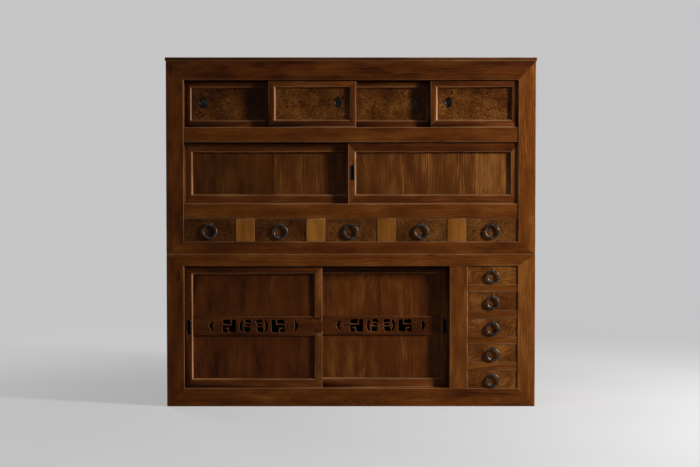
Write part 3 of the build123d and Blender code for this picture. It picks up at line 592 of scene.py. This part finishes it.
def sort_door(node, kind, panel_finish, shares, tones):
    low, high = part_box(node)
    stile = door_sizes[kind][0]
    joints = [low.x + stile]
    for share in shares[:-1]:
        joints.append(joints[-1] + share * (high.x - low.x - 2 * stile))

    def sort(center, normal):
        member = door_member(center, low, high, kind)
        axis = "X" if member in ("base", "head") else "Z"
        # The left and base chamfers get the pale finish as a painted highlight.
        if -facing < normal.y < -slanting:
            finish = "worn" if member in ("left", "base") else "door_frame"
            tone = base_chamfer_tone if member == "base" else chamfer_tone
            return board(finish, member, axis, tone)
        inset = panel_depths[0] < center.y - low.y < panel_depths[1]
        inset = inset and abs(normal.y) > nearly_facing
        if member == "panel" or (inset and kind != "top"):
            column = sum(center.x > joint for joint in joints[1:])
            along = "X" if panel_finish == "burl" else "Z"
            return board(panel_finish, f"panel {column}", along, tones[column])

        def from_side(point):
            return door_depths(point, low, high)[member]

        return board("door_frame", member, axis, edge=from_side if normal.y < -facing else None)

    return sort


sorters = {}
# The doors' boards are paler on the right than on the left: a painted shade on the left.
for number, burl_tone in enumerate((0.14, 0.34, 0.36, 0.60), 1):
    door = f"top_door_{number}"
    sorters[door] = sort_door(door, "top", "burl", (1.0,), (burl_tone,))
door_boards = {
    "middle_door_left": ("middle", "figured", (0.53, 0.47), (0.28, 0.50)),
    "middle_door_right": ("middle", "figured", (0.38, 0.39, 0.23), (0.38, 0.50, 0.94)),
    "lower_door_left": ("lower", "plank", (0.13, 0.46, 0.41), (0.34, 0.20, 0.28)),
    "lower_door_right": ("lower", "plank", (0.38, 0.12, 0.50), (0.54, 0.38, 0.50)),
}
for door, boards in door_boards.items():
    sorters[door] = sort_door(door, *boards)
print("doors sorted", len(sorters))

# %% [markdown]
# The front of each case is a frame of posts and rails. Grain runs along a board, so rails have it
# along X and posts along Z. A wide post and four thin rails in the lower front hold the stack of
# drawers. Light falls from the right, and each board has a tone of its own. The low tones of the
# left post and of the top rail are a painted shade.

# %% Fronts of the cases
hair = 0.0005
between_rails = (0.3, 0.83, 1.1, 1.42)
# Rail 4 is the top rail, and its low tone is a painted shade.
upper_rail_tones = {1: 0.34, 2: 0.42, 3: 0.34, 4: 0.06}
lower_rail_tones = {0: 0.38, 1: 0.52}
wide_post_width, wide_post_tone, stack_rail_tone = 0.087, 0.55, 0.62
# The left post's low tone is a painted shade, darker than the right post.
right_post_tone, left_post_tone = 0.70, 0.20
stack_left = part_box("stack_drawer_1_box")[0].x
wide_post = (stack_left - wide_post_width, stack_left - hair)
door_opening, stack_opening = (0.086, 0.665), (0.087, 0.663)
stack_pitch = 0.123


def storey(height):
    """Which rail of the front lies at this height, counted from the floor."""
    return sum(height > level for level in between_rails)


def sort_upper_rails(center, normal):
    rail = storey(center.z)
    return board("frame", f"rail {rail}", "X", upper_rail_tones[rail])


def sort_lower_rails(center, normal):
    if wide_post[0] < center.x < wide_post[1] and door_opening[0] < center.z < door_opening[1]:
        return board("frame", "wide post", "Z", wide_post_tone)
    if center.x > wide_post[1] and stack_opening[0] < center.z < stack_opening[1]:
        return board("frame", f"stack rail {round(center.z / stack_pitch)}", "X", stack_rail_tone)
    rail = storey(center.z)
    return board("frame", f"rail {rail}", "X", lower_rail_tones[rail])


def sort_posts(center, normal):
    on_right, at_back = center.x > 0, center.y > 0
    tone = right_post_tone if on_right else left_post_tone
    return board("frame", f"post {on_right} {at_back}", "Z", tone)


sorters["upper_posts"] = sorters["lower_posts"] = sort_posts
sorters["upper_front_rails"] = sort_upper_rails
sorters["lower_front_rails"] = sort_lower_rails
print("with the fronts of the cases", len(sorters))

# %% [markdown]
# The sides are frames with set-in panels, and the back is upright boards on rails. Nobody sees the
# back and the inside of a chest that stands at a wall, so the maker left them bare. Guides and
# partitions between the drawers are bare too, all but the honey-coloured ends that show in the
# front.

# %% Sides, back and inside
side_panel, lower_side = (0.8525, 0.8625), (0.088, 0.662)
upper_side_rails = (0.92, 1.285)
back_board_depth = 0.0125
block_pitch, guide_pitch = 0.33, 0.02
floor_board, wall_apart = 0.02, 0.05
rails_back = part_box("upper_front_rails")[1].y
inner_low, inner_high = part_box("lower_inner_boards")


def sort_side_frames(center, normal):
    set_in = side_panel[0] < abs(center.x) < side_panel[1]
    if set_in and lower_side[0] < center.z < lower_side[1]:
        return board("side", f"panel {center.x > 0}", "Z")
    return board("frame", f"rail {center.x > 0} {storey(center.z)}", "Y")


def sort_side_panels(center, normal):
    row = sum(center.z > rail for rail in upper_side_rails)
    return board("side", f"panel {center.x > 0} {row}", "Z")


def sort_back(center, normal):
    if center.y < cad_high.y - back_board_depth:
        return board("bare", f"rail {storey(center.z)}", "X")
    column = math.floor((center.x - first_back_joint) / back_board_width)
    return board("back", f"board {column}", "Z")


def sort_partitions(center, normal):
    if center.y < rails_back - hair:
        return board("honey", f"block {math.floor(center.x / block_pitch)}", "Z")
    return board("bare", f"guide {math.floor(center.x / guide_pitch)}", "Y")


def sort_inner(center, normal):
    if center.z < inner_low.z + floor_board or center.z > inner_high.z - floor_board:
        return board("bare", f"floor {center.z > between_rails[0]}", "X")
    return board("bare", f"wall {center.x > stack_left + wall_apart}", "Y")


sorters["upper_side_rails"] = sorters["lower_side_frames"] = sort_side_frames
sorters["upper_side_panels"] = sort_side_panels
sorters["upper_back"] = sorters["lower_back"] = sort_back
sorters["upper_shelves"] = lambda center, normal: board("bare", f"shelf {storey(center.z)}", "X")
sorters["small_drawer_partitions"] = sort_partitions
sorters["top_board"] = lambda center, normal: board("top", "top", "X")
sorters["lower_inner_boards"] = sort_inner
print("with the sides, back and inside", len(sorters))

# %% [markdown]
# A drawer is a figured front on a box of bare wood. The CAD node holds both, and the front is told
# from the box by its thickness. With the drawers, every wooden node has a sorter, and all of them
# get their boards.

# %% Drawers, and every wooden node
front_thickness = 0.0205
# The small fronts grow paler from left to right: a painted shade on the left.
front_tones = {
    "small": (0.14, 0.30, 0.36, 0.50, 0.68),
    "stack": (0.64, 0.42, 0.56, 0.56, 0.54),
}


def sort_drawer(node, front_finish, tone):
    front_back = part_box(node)[0].y + front_thickness

    def sort(center, normal):
        if center.y < front_back:
            return board(front_finish, "front", "X", tone)
        side = abs(normal.x) > 0.5
        return board("bare", f"box {side} {center.x > 0}", "Y" if side else "X")

    return sort


drawers = []
for row, tones in front_tones.items():
    for number, tone in enumerate(tones, 1):
        drawer = f"{row}_drawer_{number}"
        drawers.append(drawer)
        sorters[f"{drawer}_box"] = sort_drawer(f"{drawer}_box", f"{row}_front", tone)
for node, sort in sorters.items():
    mark_boards(nodes[node].data, node, sort)
print("drawers", len(drawers), "wooden nodes", len(sorters))

# %% [markdown]
# No hand-planed edge stays sharp, and a century of hands and dusters rubs the lacquer off it. A
# Bevel modifier rounds the arrises, and their pale finish is partly this wear and partly a painted
# highlight: the thin bright line that light draws along a rounded edge. On every edge the bevel
# would open the mitres, and it overshoots where two solids share a corner or two edges crowd each
# other. So the script looks for straight outer edges whose corners belong to one solid only, and
# leaves out those with too little room.

# %% Find the arrises
shortest_arris = 0.012
straight_share, least_turn = 0.999, 0.77
same_line = 1e-4


def corner_key(mesh, vertex):
    return tuple(round(c, 5) for c in mesh.vertices[vertex].co)


def outer_edges(sides):
    """Straight outer edges whose corners belong to one solid only, longest first."""
    shared = {corner for pair, faces in sides.items() if len(faces) != 2 for corner in pair}
    for pair in sorted(sides, key=lambda p: (Vector(p[0]) - Vector(p[1])).length, reverse=True):
        run = Vector(pair[1]) - Vector(pair[0])
        straight = max(abs(c) for c in run) > straight_share * run.length > shortest_arris
        if straight and not shared.intersection(pair):
            one, two = sides[pair]
            turned = one.normal.dot(two.normal) < least_turn
            if turned and (two.center - one.center).dot(one.normal) < 0:
                yield pair


def crowded(pair, chosen, width):
    """Whether a chosen edge runs beside this one, too near for two bevels."""
    axis = max(range(3), key=lambda i: abs(pair[1][i] - pair[0][i]))
    across = [i for i in range(3) if i != axis]
    for other in chosen:
        beside = math.hypot(*(other[0][i] - pair[0][i] for i in across)) < 2 * width
        along = all(abs(other[0][i] - other[1][i]) < same_line for i in across)
        if beside and along and other[0][axis] < pair[1][axis] and pair[0][axis] < other[1][axis]:
            return True
    return False


def weigh_arrises(mesh, width):
    """Give a bevel weight to the outer edges that have room for it, and count them."""
    sides, ends = {}, {}
    for face in mesh.polygons:
        for edge in face.edge_keys:
            ends[edge] = tuple(sorted(corner_key(mesh, v) for v in edge))
            sides.setdefault(ends[edge], []).append(face)
    chosen = []
    for pair in outer_edges(sides):
        if not crowded(pair, chosen, width):
            chosen.append(pair)
    kept = set(chosen)
    weights = mesh.attributes.new("bevel_weight_edge", "FLOAT", "EDGE")
    weights.data.foreach_set("value", [float(ends.get(e.key) in kept) for e in mesh.edges])
    return len(chosen)


print("arrises are at least", shortest_arris, "m long")

# %% [markdown]
# The bevel takes the pale finish of wear and painted highlight as its material, which makes the
# pale line. A Weld comes before it, because the faces of an imported solid don't share their
# corners, and a Weighted Normal after it, so that the flat faces stay flat and only the rounding
# catches the light.

# %% Soften the arrises
# Posts, rails and the top board get wider pale arrises, a painted highlight as well as wear.
wide_arris_nodes = ("upper_posts", "lower_posts", "upper_front_rails", "lower_front_rails", "top_board")
wide_arris_width, narrow_arris_width = 0.0032, 0.0018
weld_reach = 0.00002
arris_count = 0
for node in sorters:
    mesh, modifiers = nodes[node].data, nodes[node].modifiers
    mesh.polygons.foreach_set("use_smooth", [True] * len(mesh.polygons))
    if "custom_normal" in mesh.attributes:
        mesh.attributes.remove(mesh.attributes["custom_normal"])
    arris_width = wide_arris_width if node in wide_arris_nodes else narrow_arris_width
    arris_count += weigh_arrises(mesh, arris_width)
    mesh.materials.append(finishes["worn"])
    weld = modifiers.new("weld", "WELD")
    weld.merge_threshold = weld_reach
    bevel = modifiers.new("arris", "BEVEL")
    bevel.width = arris_width
    bevel.segments = 3
    bevel.limit_method = "WEIGHT"
    bevel.use_clamp_overlap = False
    bevel.material = len(mesh.materials) - 1
    shading = modifiers.new("shading", "WEIGHTED_NORMAL")
    shading.mode = "FACE_AREA"
    shading.weight = 100
print("arrises softened", arris_count)

# %% [markdown]
# A carved and pierced rail crosses each lower door: a flower of diamonds in the middle, leaves
# beside it, then a squared scroll, two dots on a stem and a pointed crescent, all mirrored. The
# voids are drawn once, as outlines in metres about the middle of the rail. Leaves and crescent are
# drawn in shares of their reach, to keep them easy to stretch. Some corners stay sharp, and the
# others are curves.

# %% Drawing of the fretwork
fret_half, bar = 0.030, 0.0065
leaf_reach, scroll_start, scroll_end = 0.066, 0.084, 0.146
arm, shelf = 0.020, 0.010
hook, hook_drop, hook_gap = 0.034, 0.008, 0.010
dot_middle, dot_step, dot_reach = 0.019, 0.00825, 0.0054
crescent_start, crescent_long = 0.047, 0.020
petal_reach, petal_heights = 0.0046, (0.9, 0.55, 0.17, -0.25)
upper_leaf = ((0.14, 0.67), (0.26, 0.97), (0.64, 0.97), (0.62, 0.63), (0.41, 0.47), (0.21, 0.47))
middle_leaf = ((0.20, 0.27), (0.55, 0.30), (0.65, 0.07), (0.27, 0.0))
lower_leaf = ((0.18, -0.27), (0.61, -0.20), (0.67, -0.40))
lower_leaf += ((0.67, -0.97), (0.33, -0.97), (0.26, -0.60))
outer_leaf = ((0.74, 1.0), (0.91, 0.77), (1.0, 0.27))
outer_leaf += ((1.0, -0.33), (0.91, -0.8), (0.74, -1.0), (0.85, 0.0))
leaves = (
    (upper_leaf, (0, 2)),
    (middle_leaf, (0, 2)),
    (lower_leaf, (0, 3, 4)),
    (outer_leaf, (0, 5)),
)
crescent = ((0.0, 1.0), (0.42, 0.66), (0.7, 0.28), (1.0, 0.0))
crescent += ((0.7, -0.28), (0.42, -0.66), (0.0, -1.0), (0.14, 0.0))


def diamond(x, z, reach):
    return [(x + reach, z), (x, z + reach), (x - reach, z), (x, z - reach)]


def squared_scroll():
    """The two voids that leave an angle of bar above and a hook of bar below."""
    top, foot = fret_half, -fret_half
    left, right_end = scroll_start + arm, scroll_end
    stem, tip = scroll_start + hook, scroll_end - hook_gap
    below = [(scroll_start, top), (left, top), (left, shelf - bar), (right_end, shelf - bar)]
    below += [(right_end, foot), (stem + bar, foot), (stem + bar, -hook_drop - bar)]
    below += [(tip, -hook_drop - bar), (tip, -hook_drop), (stem, -hook_drop)]
    below += [(stem, foot), (scroll_start, foot)]
    above = [(left + bar, top), (right_end, top), (right_end, shelf), (left + bar, shelf)]
    return [(below, range(len(below))), (above, range(len(above)))]


def fret_voids():
    """Outlines of all voids about the middle of the rail: their corners, and which stay sharp."""
    half = squared_scroll()
    for side in (-1, 1):
        dot = scroll_end + dot_middle + side * dot_step
        half.append((diamond(dot, 0.0, dot_reach), range(4)))
    for shape, sharp in leaves:
        half.append(([(a * leaf_reach, u * fret_half) for a, u in shape], sharp))
    start = scroll_end + crescent_start
    half.append(([(start + a * crescent_long, u * fret_half) for a, u in crescent], (0, 3, 6)))
    mirrored = [([(-x, z) for x, z in points], sharp) for points, sharp in half]
    flower = [(diamond(0.0, share * fret_half, petal_reach), range(4)) for share in petal_heights]
    return half + mirrored + flower


print("voids in a carved rail", len(fret_voids()))

# %% [markdown]
# The carver saws the voids out of a board and rounds their edges with a knife. A boolean for every
# void would leave sharp, messy edges, so the rail is a flat Curve instead: one outline for the
# board and one for each void. Blender fills between them, gives the fill its thickness, and rounds
# all edges with one bevel.

# %% Filled outlines
carved_thickness, knife_round = 0.018, 0.0018


def outline(curve, points, sharp):
    spline = curve.splines.new("BEZIER")
    spline.bezier_points.add(len(points) - 1)
    spline.use_cyclic_u = True
    spline.resolution_u = 6
    for index, (place, (x, z)) in enumerate(zip(spline.bezier_points, points)):
        place.co = (x, z, 0.0)
        place.handle_left_type = place.handle_right_type = "VECTOR" if index in sharp else "AUTO"


def fretwork_mesh(name, long, tall):
    """A filled curve with its voids, as a mesh about the origin, from half its two sizes."""
    curve = bpy.data.curves.new(f"{name}_drawing", "CURVE")
    curve.dimensions = "2D"
    curve.fill_mode = "BOTH"
    curve.bevel_depth = knife_round
    curve.bevel_resolution = 2
    curve.offset = -curve.bevel_depth
    curve.extrude = carved_thickness / 2 - curve.bevel_depth
    outline(curve, [(-long, -tall), (long, -tall), (long, tall), (-long, tall)], range(4))
    for points, sharp in fret_voids():
        outline(curve, points, sharp)
    drawing = bpy.data.objects.new(f"{name}_drawing", curve)
    mesh = bpy.data.meshes.new_from_object(drawing)
    bpy.data.objects.remove(drawing)
    bpy.data.curves.remove(curve)
    mesh.name = name
    return mesh


print("a carved board is", carved_thickness, "m thick")

# %% [markdown]
# Each carved rail is tenoned into the stiles of its door, and slides with it. The new piece rides
# on the door's body and stands for the plain solid, which stays in the simulation. The rounded
# edges take the pale finish of the arrises, wear and a painted highlight, as the other arrises do.
# The board itself has a low tone, a painted shade over the whole carving. A modifier could round
# the edges too, but the curve has already done it.

# %% Carved rails
# The carving's low tone is a painted shade that darkens the whole rail.
knife_slant, shaded_carving_tone = 0.2, 0.24
lower_stile = door_sizes["lower"][0]


def add_piece(name, mesh, body, stands_for):
    """Put a mesh into the scene as a piece that rides on a body and stands for a CAD node."""
    piece = bpy.data.objects.new(name, mesh)
    bpy.context.scene.collection.objects.link(piece)
    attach(piece, body)
    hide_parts(stands_for)
    return piece


def sort_carved(center, normal):
    rounded = knife_slant < abs(normal.y) < facing
    return board("worn" if rounded else "door_frame", "carved", "X", shaded_carving_tone)


def carved_piece(name, mesh, door):
    mark_boards(mesh, name, sort_carved)
    return add_piece(name, mesh, door, f"{door}_carved_rail")


for door in ("lower_door_left", "lower_door_right"):
    low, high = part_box(f"{door}_carved_rail")
    door_low, door_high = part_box(door)
    name = f"{door}_carved_rail_fretwork"
    half_long = (door_high.x - door_low.x) / 2 - lower_stile
    mesh = fretwork_mesh(name, half_long, (high.z - low.z) / 2)
    middle_x, middle_z = (door_low.x + door_high.x) / 2, (low.z + high.z) / 2
    middle = Vector((middle_x, low.y + carved_thickness / 2, middle_z))
    mesh.transform(Matrix.Translation(middle) @ Matrix.Rotation(math.pi / 2, 4, "X"))
    carved_piece(name, mesh, door)
    print(name, len(mesh.polygons), "faces")

# %% [markdown]
# The left door's rail goes on across the meeting stile, as a bar end that lies in a notch. It is a
# short block, so a cube is stretched to its size and all its edges are rounded, as a plane and
# paper would do.

# %% Bar end
bar_end_depth, bar_end_tall, bar_end_round = 0.005, 0.047, 0.0014
door = "lower_door_left"
low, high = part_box(f"{door}_carved_rail")
stile_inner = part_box(door)[1].x - lower_stile
size = Vector((high.x - stile_inner, bar_end_depth, bar_end_tall))
place = Vector(((stile_inner + high.x) / 2, low.y + bar_end_depth / 2, (low.z + high.z) / 2))
block = bmesh.new()
bmesh.ops.create_cube(block, size=1.0)
for vert in block.verts:
    vert.co = place + vert.co * size
rounding = {"offset": bar_end_round, "segments": 3, "affect": "EDGES", "profile": 0.6}
bmesh.ops.bevel(block, geom=block.edges[:], **rounding)
mesh = bpy.data.meshes.new(f"{door}_carved_rail_bar_end")
block.to_mesh(mesh)
block.free()
carved_piece(f"{door}_carved_rail_bar_end", mesh, door)
print("bar end", [round(c, 4) for c in size])

# %% [markdown]
# The iron solids of the CAD model are faceted, to keep them light in a simulation. Smoothing them
# would shrink them, so rounder ones take their places. Each is swept: a row of rings of points,
# joined by faces.

# %% Sweep tools
right, up, out = Vector((1, 0, 0)), Vector((0, 0, 1)), Vector((0, -1, 0))


def ring_points(center, across, along, radius_across, radius_along, count):
    points = []
    for i in range(count):
        turn = 2 * math.pi * i / count
        side = across * (radius_across * math.cos(turn))
        points.append(center + side + along * (radius_along * math.sin(turn)))
    return points


def iron_piece(name, rings, stands_for, body, finish="iron", closed=False, capped=False):
    """Join rings of points into one smooth iron piece that rides on a body."""
    shape = bmesh.new()
    loops = [[shape.verts.new(p) for p in ring] for ring in rings]
    count = len(loops[0])
    for a, b in zip(loops, loops[1:] + loops[:1] if closed else loops[1:]):
        for j in range(count):
            shape.faces.new((a[j], a[(j + 1) % count], b[(j + 1) % count], b[j]))
    if capped:
        shape.faces.new(loops[0])
        shape.faces.new(list(reversed(loops[-1])))
    bmesh.ops.recalc_face_normals(shape, faces=shape.faces)
    for face in shape.faces:
        face.smooth = True
    mesh = bpy.data.meshes.new(name)
    shape.to_mesh(mesh)
    shape.free()
    mesh.materials.append(finishes[finish])
    return add_piece(name, mesh, body, stands_for)


print("sweeps run right", tuple(right), "up", tuple(up), "and out", tuple(out))

# %% [markdown]
# A drawer pull is a forged ring that hangs in the eye of a staple. The smith draws the ring thin
# at the top, where it runs in the eye, and leaves it thicker at the bottom, where the hand pulls.
# A torus would be even all round, so the wire's thickness changes along the sweep, with a slight
# dent of the hammer.

# %% Rings
ring_steps, wire_steps = 72, 20
thin_share, bottom_swell, ring_inset = 0.86, 0.0009, 1.02
hammer_dent, dents_round, dents_apart = 0.03, 3, 40


def forged_ring(drawer):
    low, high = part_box(f"{drawer}_ring")
    center = (low + high) / 2
    outer, wire = (high.z - low.z) / 2, (high.y - low.y) / 2
    loops = []
    for i in range(ring_steps):
        turn = 2 * math.pi * i / ring_steps + math.pi / 2
        away = right * math.cos(turn) + up * math.sin(turn)
        swell = 0.5 - 0.5 * math.sin(turn)
        across, along = math.cos(turn) * dents_round, math.sin(turn) * dents_round
        dent = 1.0 + hammer_dent * noise.noise(Vector((across, along, low.x * dents_apart)))
        thick = (wire * thin_share + bottom_swell * swell) * dent
        middle = center + away * (outer - wire * ring_inset)
        loops.append(ring_points(middle, away, out, thick, min(thick, wire), wire_steps))
    iron_piece(f"{drawer}_forged_ring", loops, f"{drawer}_ring", f"{drawer}_ring", closed=True)
    return 2 * outer


print("a ring has", ring_steps, "steps round and its wire", wire_steps)

# %% [markdown]
# The staple is a strip of iron, bent round into an eye and driven through the front, with a small
# domed seat under it. Here the eye is a flat band swept round the ring's wire, the seat is a low
# dome, and a short neck joins them. The neck ends in the seat, so that the ring can swing up past
# it. Each drawer gets its ring and its staple.

# %% Staples
eye_drop, eye_hole, eye_wall, eye_half_width = 0.00425, 0.0052, 0.0028, 0.0034
eye_steps, band_steps, seat_steps, neck_steps = 40, 14, 28, 16
seat_profile = ((0.0088, 0.0), (0.0088, 0.0007), (0.0078, 0.0014))
seat_profile += ((0.0050, 0.0019), (0.0012, 0.0021))
neck_half, neck_rises = (0.0034, 0.0026), (-0.018, -0.005, 0.0018)


def forged_staple(drawer):
    staple = f"{drawer}_staple"
    low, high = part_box(staple)
    ring_low, ring_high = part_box(f"{drawer}_ring")
    eye = Vector(((low.x + high.x) / 2, (ring_low.y + ring_high.y) / 2, ring_high.z - eye_drop))
    band = []
    for i in range(eye_steps):
        turn = 2 * math.pi * i / eye_steps
        away = out * math.cos(turn) + up * math.sin(turn)
        middle = eye + away * (eye_hole + eye_wall / 2)
        band.append(ring_points(middle, away, right, eye_wall / 2, eye_half_width, band_steps))
    iron_piece(f"{drawer}_staple_eye", band, staple, drawer, closed=True)
    foot = Vector((eye.x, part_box(f"{drawer}_box")[0].y, eye.z))
    seat = []
    for radius, rise in seat_profile:
        seat.append(ring_points(foot + out * rise, right, up, radius, radius, seat_steps))
    iron_piece(f"{drawer}_staple_seat", seat, staple, drawer, capped=True)
    neck = [ring_points(foot + out * r, right, up, *neck_half, neck_steps) for r in neck_rises]
    iron_piece(f"{drawer}_staple_neck", neck, staple, drawer, capped=True)
    return foot


for drawer in drawers:
    across, foot = forged_ring(drawer), forged_staple(drawer)
    print(drawer, "ring", round(across, 4), "m, staple at", [round(c, 4) for c in foot])

# %% [markdown]
# The finger cups are pressed from sheet: a rolled rim on the wood, a short wall and a dished
# floor. One profile of steps inwards and back is swept round an oval for the small doors, and
# round a long slot, an oval with straight sides, for the others. A fan of faces closes the floor.

# %% Finger cups
cup_steps, slot_straight = 56, 0.027
rim_profile = ((0.0, 0.0011), (0.0001, 0.0005), (0.0007, 0.0001), (0.0016, 0.0))
rim_profile += ((0.0026, 0.0003), (0.0033, 0.0011), (0.0037, 0.0024))
wall_profile = ((0.0039, 0.55), (0.0044, 0.72), (0.0056, 0.83), (0.0074, 0.88))
floor_inset, floor_share, same_level = 0.75, 0.9, 1e-6


def oval(center, half_width, half_height, straight, inset, depth):
    points = []
    for i in range(cup_steps):
        turn = 2 * math.pi * (i + 0.5) / cup_steps
        rise = straight if math.sin(turn) > 0 else -straight
        x = (half_width - inset) * math.cos(turn)
        z = (half_height - inset) * math.sin(turn) + rise
        points.append(center + right * x + up * z + out * -depth)
    return points


def pressed_cup(node, body, straight):
    low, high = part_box(node)
    half_width = (high.x - low.x) / 2
    half_height = (high.z - low.z) / 2 - straight
    center = Vector(((low.x + high.x) / 2, low.y, (low.z + high.z) / 2))
    deep = high.y - low.y
    floor_depth = deep * floor_share
    profile = [*rim_profile, *((inset, deep * share) for inset, share in wall_profile)]
    profile.append((half_width * floor_inset, floor_depth))
    loops = [oval(center, half_width, half_height, straight, *step) for step in profile]
    piece = iron_piece(f"{node}_pressed", loops, node, body, "cup_iron")
    cup = bmesh.new()
    cup.from_mesh(piece.data)
    rim = [v for v in cup.verts if abs(v.co.y - (low.y + floor_depth)) < same_level]
    middle = cup.verts.new(center + out * -floor_depth)
    for edge in [e for e in cup.edges if e.is_boundary and all(v in rim for v in e.verts)]:
        cup.faces.new((*edge.verts, middle)).smooth = True
    bmesh.ops.recalc_face_normals(cup, faces=cup.faces)
    cup.to_mesh(piece.data)
    cup.free()
    return piece


cups = [pressed_cup(f"top_door_{n}_cup", f"top_door_{n}", 0.0) for n in range(1, 5)]
for door in ("middle_door_right", "lower_door_left", "lower_door_right"):
    cups.append(pressed_cup(f"{door}_pull", door, slot_straight))
print("finger cups pressed", len(cups))

# %% [markdown]
# The stage is a pale floor in pale surroundings. A curved backdrop would hide the chest from
# behind, so the floor is a wide flat disc that fades into the world's colour. What the camera sees
# of both is a glow that doesn't light the chest: Light Path tells the rays of the eye, of metal
# and of glass from the others.

# %% Floor
surroundings, black = (0.56, 0.56, 0.57), (0.0, 0.0, 0.0)
floor_radius, glow_start, paint_end, fade_end = 60.0, 1.0, 1.6, 4.2
floor_paint = ((0.225, 0.225, 0.232), (0.265, 0.265, 0.272))
floor_glow = (0.36, 0.36, 0.366)


def seen_by_eye(finish):
    """One for what the camera sees straight, in metal or through glass; nought for lighting."""
    rays = ("Is Camera Ray", "Is Glossy Ray", "Is Transmission Ray")
    camera_ray, glossy_ray, glass_ray = (finish.node("ShaderNodeLightPath", out=r) for r in rays)
    return camera_ray + glossy_ray + glass_ray


def pale_floor():
    pale = Finish(bpy.data.materials.new("pale_floor"))
    place = pale.node("ShaderNodeTexCoord", out="Object")
    x, y, _ = parts(place)
    away = (x * x + y * y).maths("SQRT")
    paint = blend(cloud(place, 1.4, 4.0), *floor_paint)
    glow = blend(span(away, glow_start, fade_end), floor_glow, surroundings)
    return surface(
        pale,
        Base_Color=blend(span(away, paint_end, fade_end), paint, black),
        Roughness=0.75,
        Specular_IOR_Level=0.0,
        Emission_Color=blend(seen_by_eye(pale), black, glow),
        Emission_Strength=1.0,
    )


disc = bmesh.new()
bmesh.ops.create_circle(disc, cap_ends=True, radius=floor_radius, segments=96)
mesh = bpy.data.meshes.new("floor")
disc.to_mesh(mesh)
disc.free()
mesh.materials.append(pale_floor())
floor = bpy.data.objects.new("floor", mesh)
bpy.context.scene.collection.objects.link(floor)
print("floor", floor_radius, "m in radius")

# %% [markdown]
# In the picture the light comes from the right, so that every left stile has a bright line and
# every recess a shadow. A key lamp and a tall window lamp stand there, at a plain level: a colour
# renders about as it is written. A weak fill, a strip overhead and a lamp behind keep the other
# sides readable.


# %% Lamps
def lamp(name, place, target, wide, tall, power, colour):
    light = bpy.data.lights.new(name, "AREA")
    light.shape = "ELLIPSE"
    light.size, light.size_y = wide, tall
    light.energy = power
    light.color = colour
    holder = bpy.data.objects.new(name, light)
    holder.location = place
    holder.rotation_euler = (Vector(target) - Vector(place)).to_track_quat("-Z", "Y").to_euler()
    bpy.context.scene.collection.objects.link(holder)
    return holder


white = (1.0, 1.0, 1.0)
lamps = [
    lamp("key", (3.7, -1.55, 2.25), (0.2, -0.2, 0.85), 0.5, 1.2, 285.0, (1.0, 0.97, 0.93)),
    lamp("window", (4.4, -0.55, 0.95), (0.0, -0.2, 0.9), 0.5, 2.0, 45.0, (1.0, 0.98, 0.96)),
    lamp("fill", (-3.4, -4.2, 2.2), (0.0, -0.2, 0.8), 2.6, 2.6, 4.0, (0.96, 0.98, 1.0)),
    lamp("overhead", (0.2, -0.75, 3.6), (0.0, -0.2, 0.8), 2.0, 0.4, 14.0, white),
    lamp("behind", (-3.4, 3.4, 2.8), (0.0, 0.2, 0.8), 2.4, 2.4, 85.0, white),
]
print("lamps", {holder.name: holder.data.energy for holder in lamps})

# %% [markdown]
# The world is the air round the chest. For lighting it is dim and a little blue, and to the eye it
# has the pale colour that the floor fades into. A picture of a room would show in the lacquer, so
# two plain colours do, and the same node tools serve on the world's tree.

# %% World
dim_air, dim_strength = (0.92, 0.95, 1.0), 0.05
room = Finish(bpy.data.worlds.new("studio"))
dim = room.node("ShaderNodeBackground", sockets={"Color": dim_air, "Strength": dim_strength})
pale = room.node("ShaderNodeBackground", sockets={"Color": surroundings, "Strength": 1.0})
air = room.node("ShaderNodeMixShader", sockets=(seen_by_eye(room), dim, pale))
room.node("ShaderNodeOutputWorld", sockets={"Surface": air})
bpy.context.scene.world = room.owner
bpy.context.scene.view_settings.view_transform = "Standard"
print("world", bpy.context.scene.world.name)

# %% [markdown]
# The picture was taken from straight in front, a little above the chest's middle, with a lens long
# enough to keep the frames square. The camera stands five metres away and looks very slightly
# down. The lens is given in pixels of a picture 700 wide, as it was fitted, and turned into
# millimetres for the sensor.

# %% Camera
picture_width, lens_pixels, sensor_width = 700.0, 1061.5, 36.0
distance, eye_height, step_left = 5.0, 0.9518, 0.0147
look_down, turn_right = 0.0267, 0.0020
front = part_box("upper_front_rails")[0].y
camera_data = bpy.data.cameras.new("camera")
camera_data.sensor_width = sensor_width
camera_data.lens = lens_pixels * sensor_width / picture_width
camera = bpy.data.objects.new("camera", camera_data)
camera.location = (-step_left, front - distance, eye_height)
camera.rotation_euler = (math.pi / 2 - look_down, 0.0, -turn_right)
bpy.context.scene.collection.objects.link(camera)
bpy.context.scene.camera = camera
print("lens", round(camera_data.lens, 2), "mm")
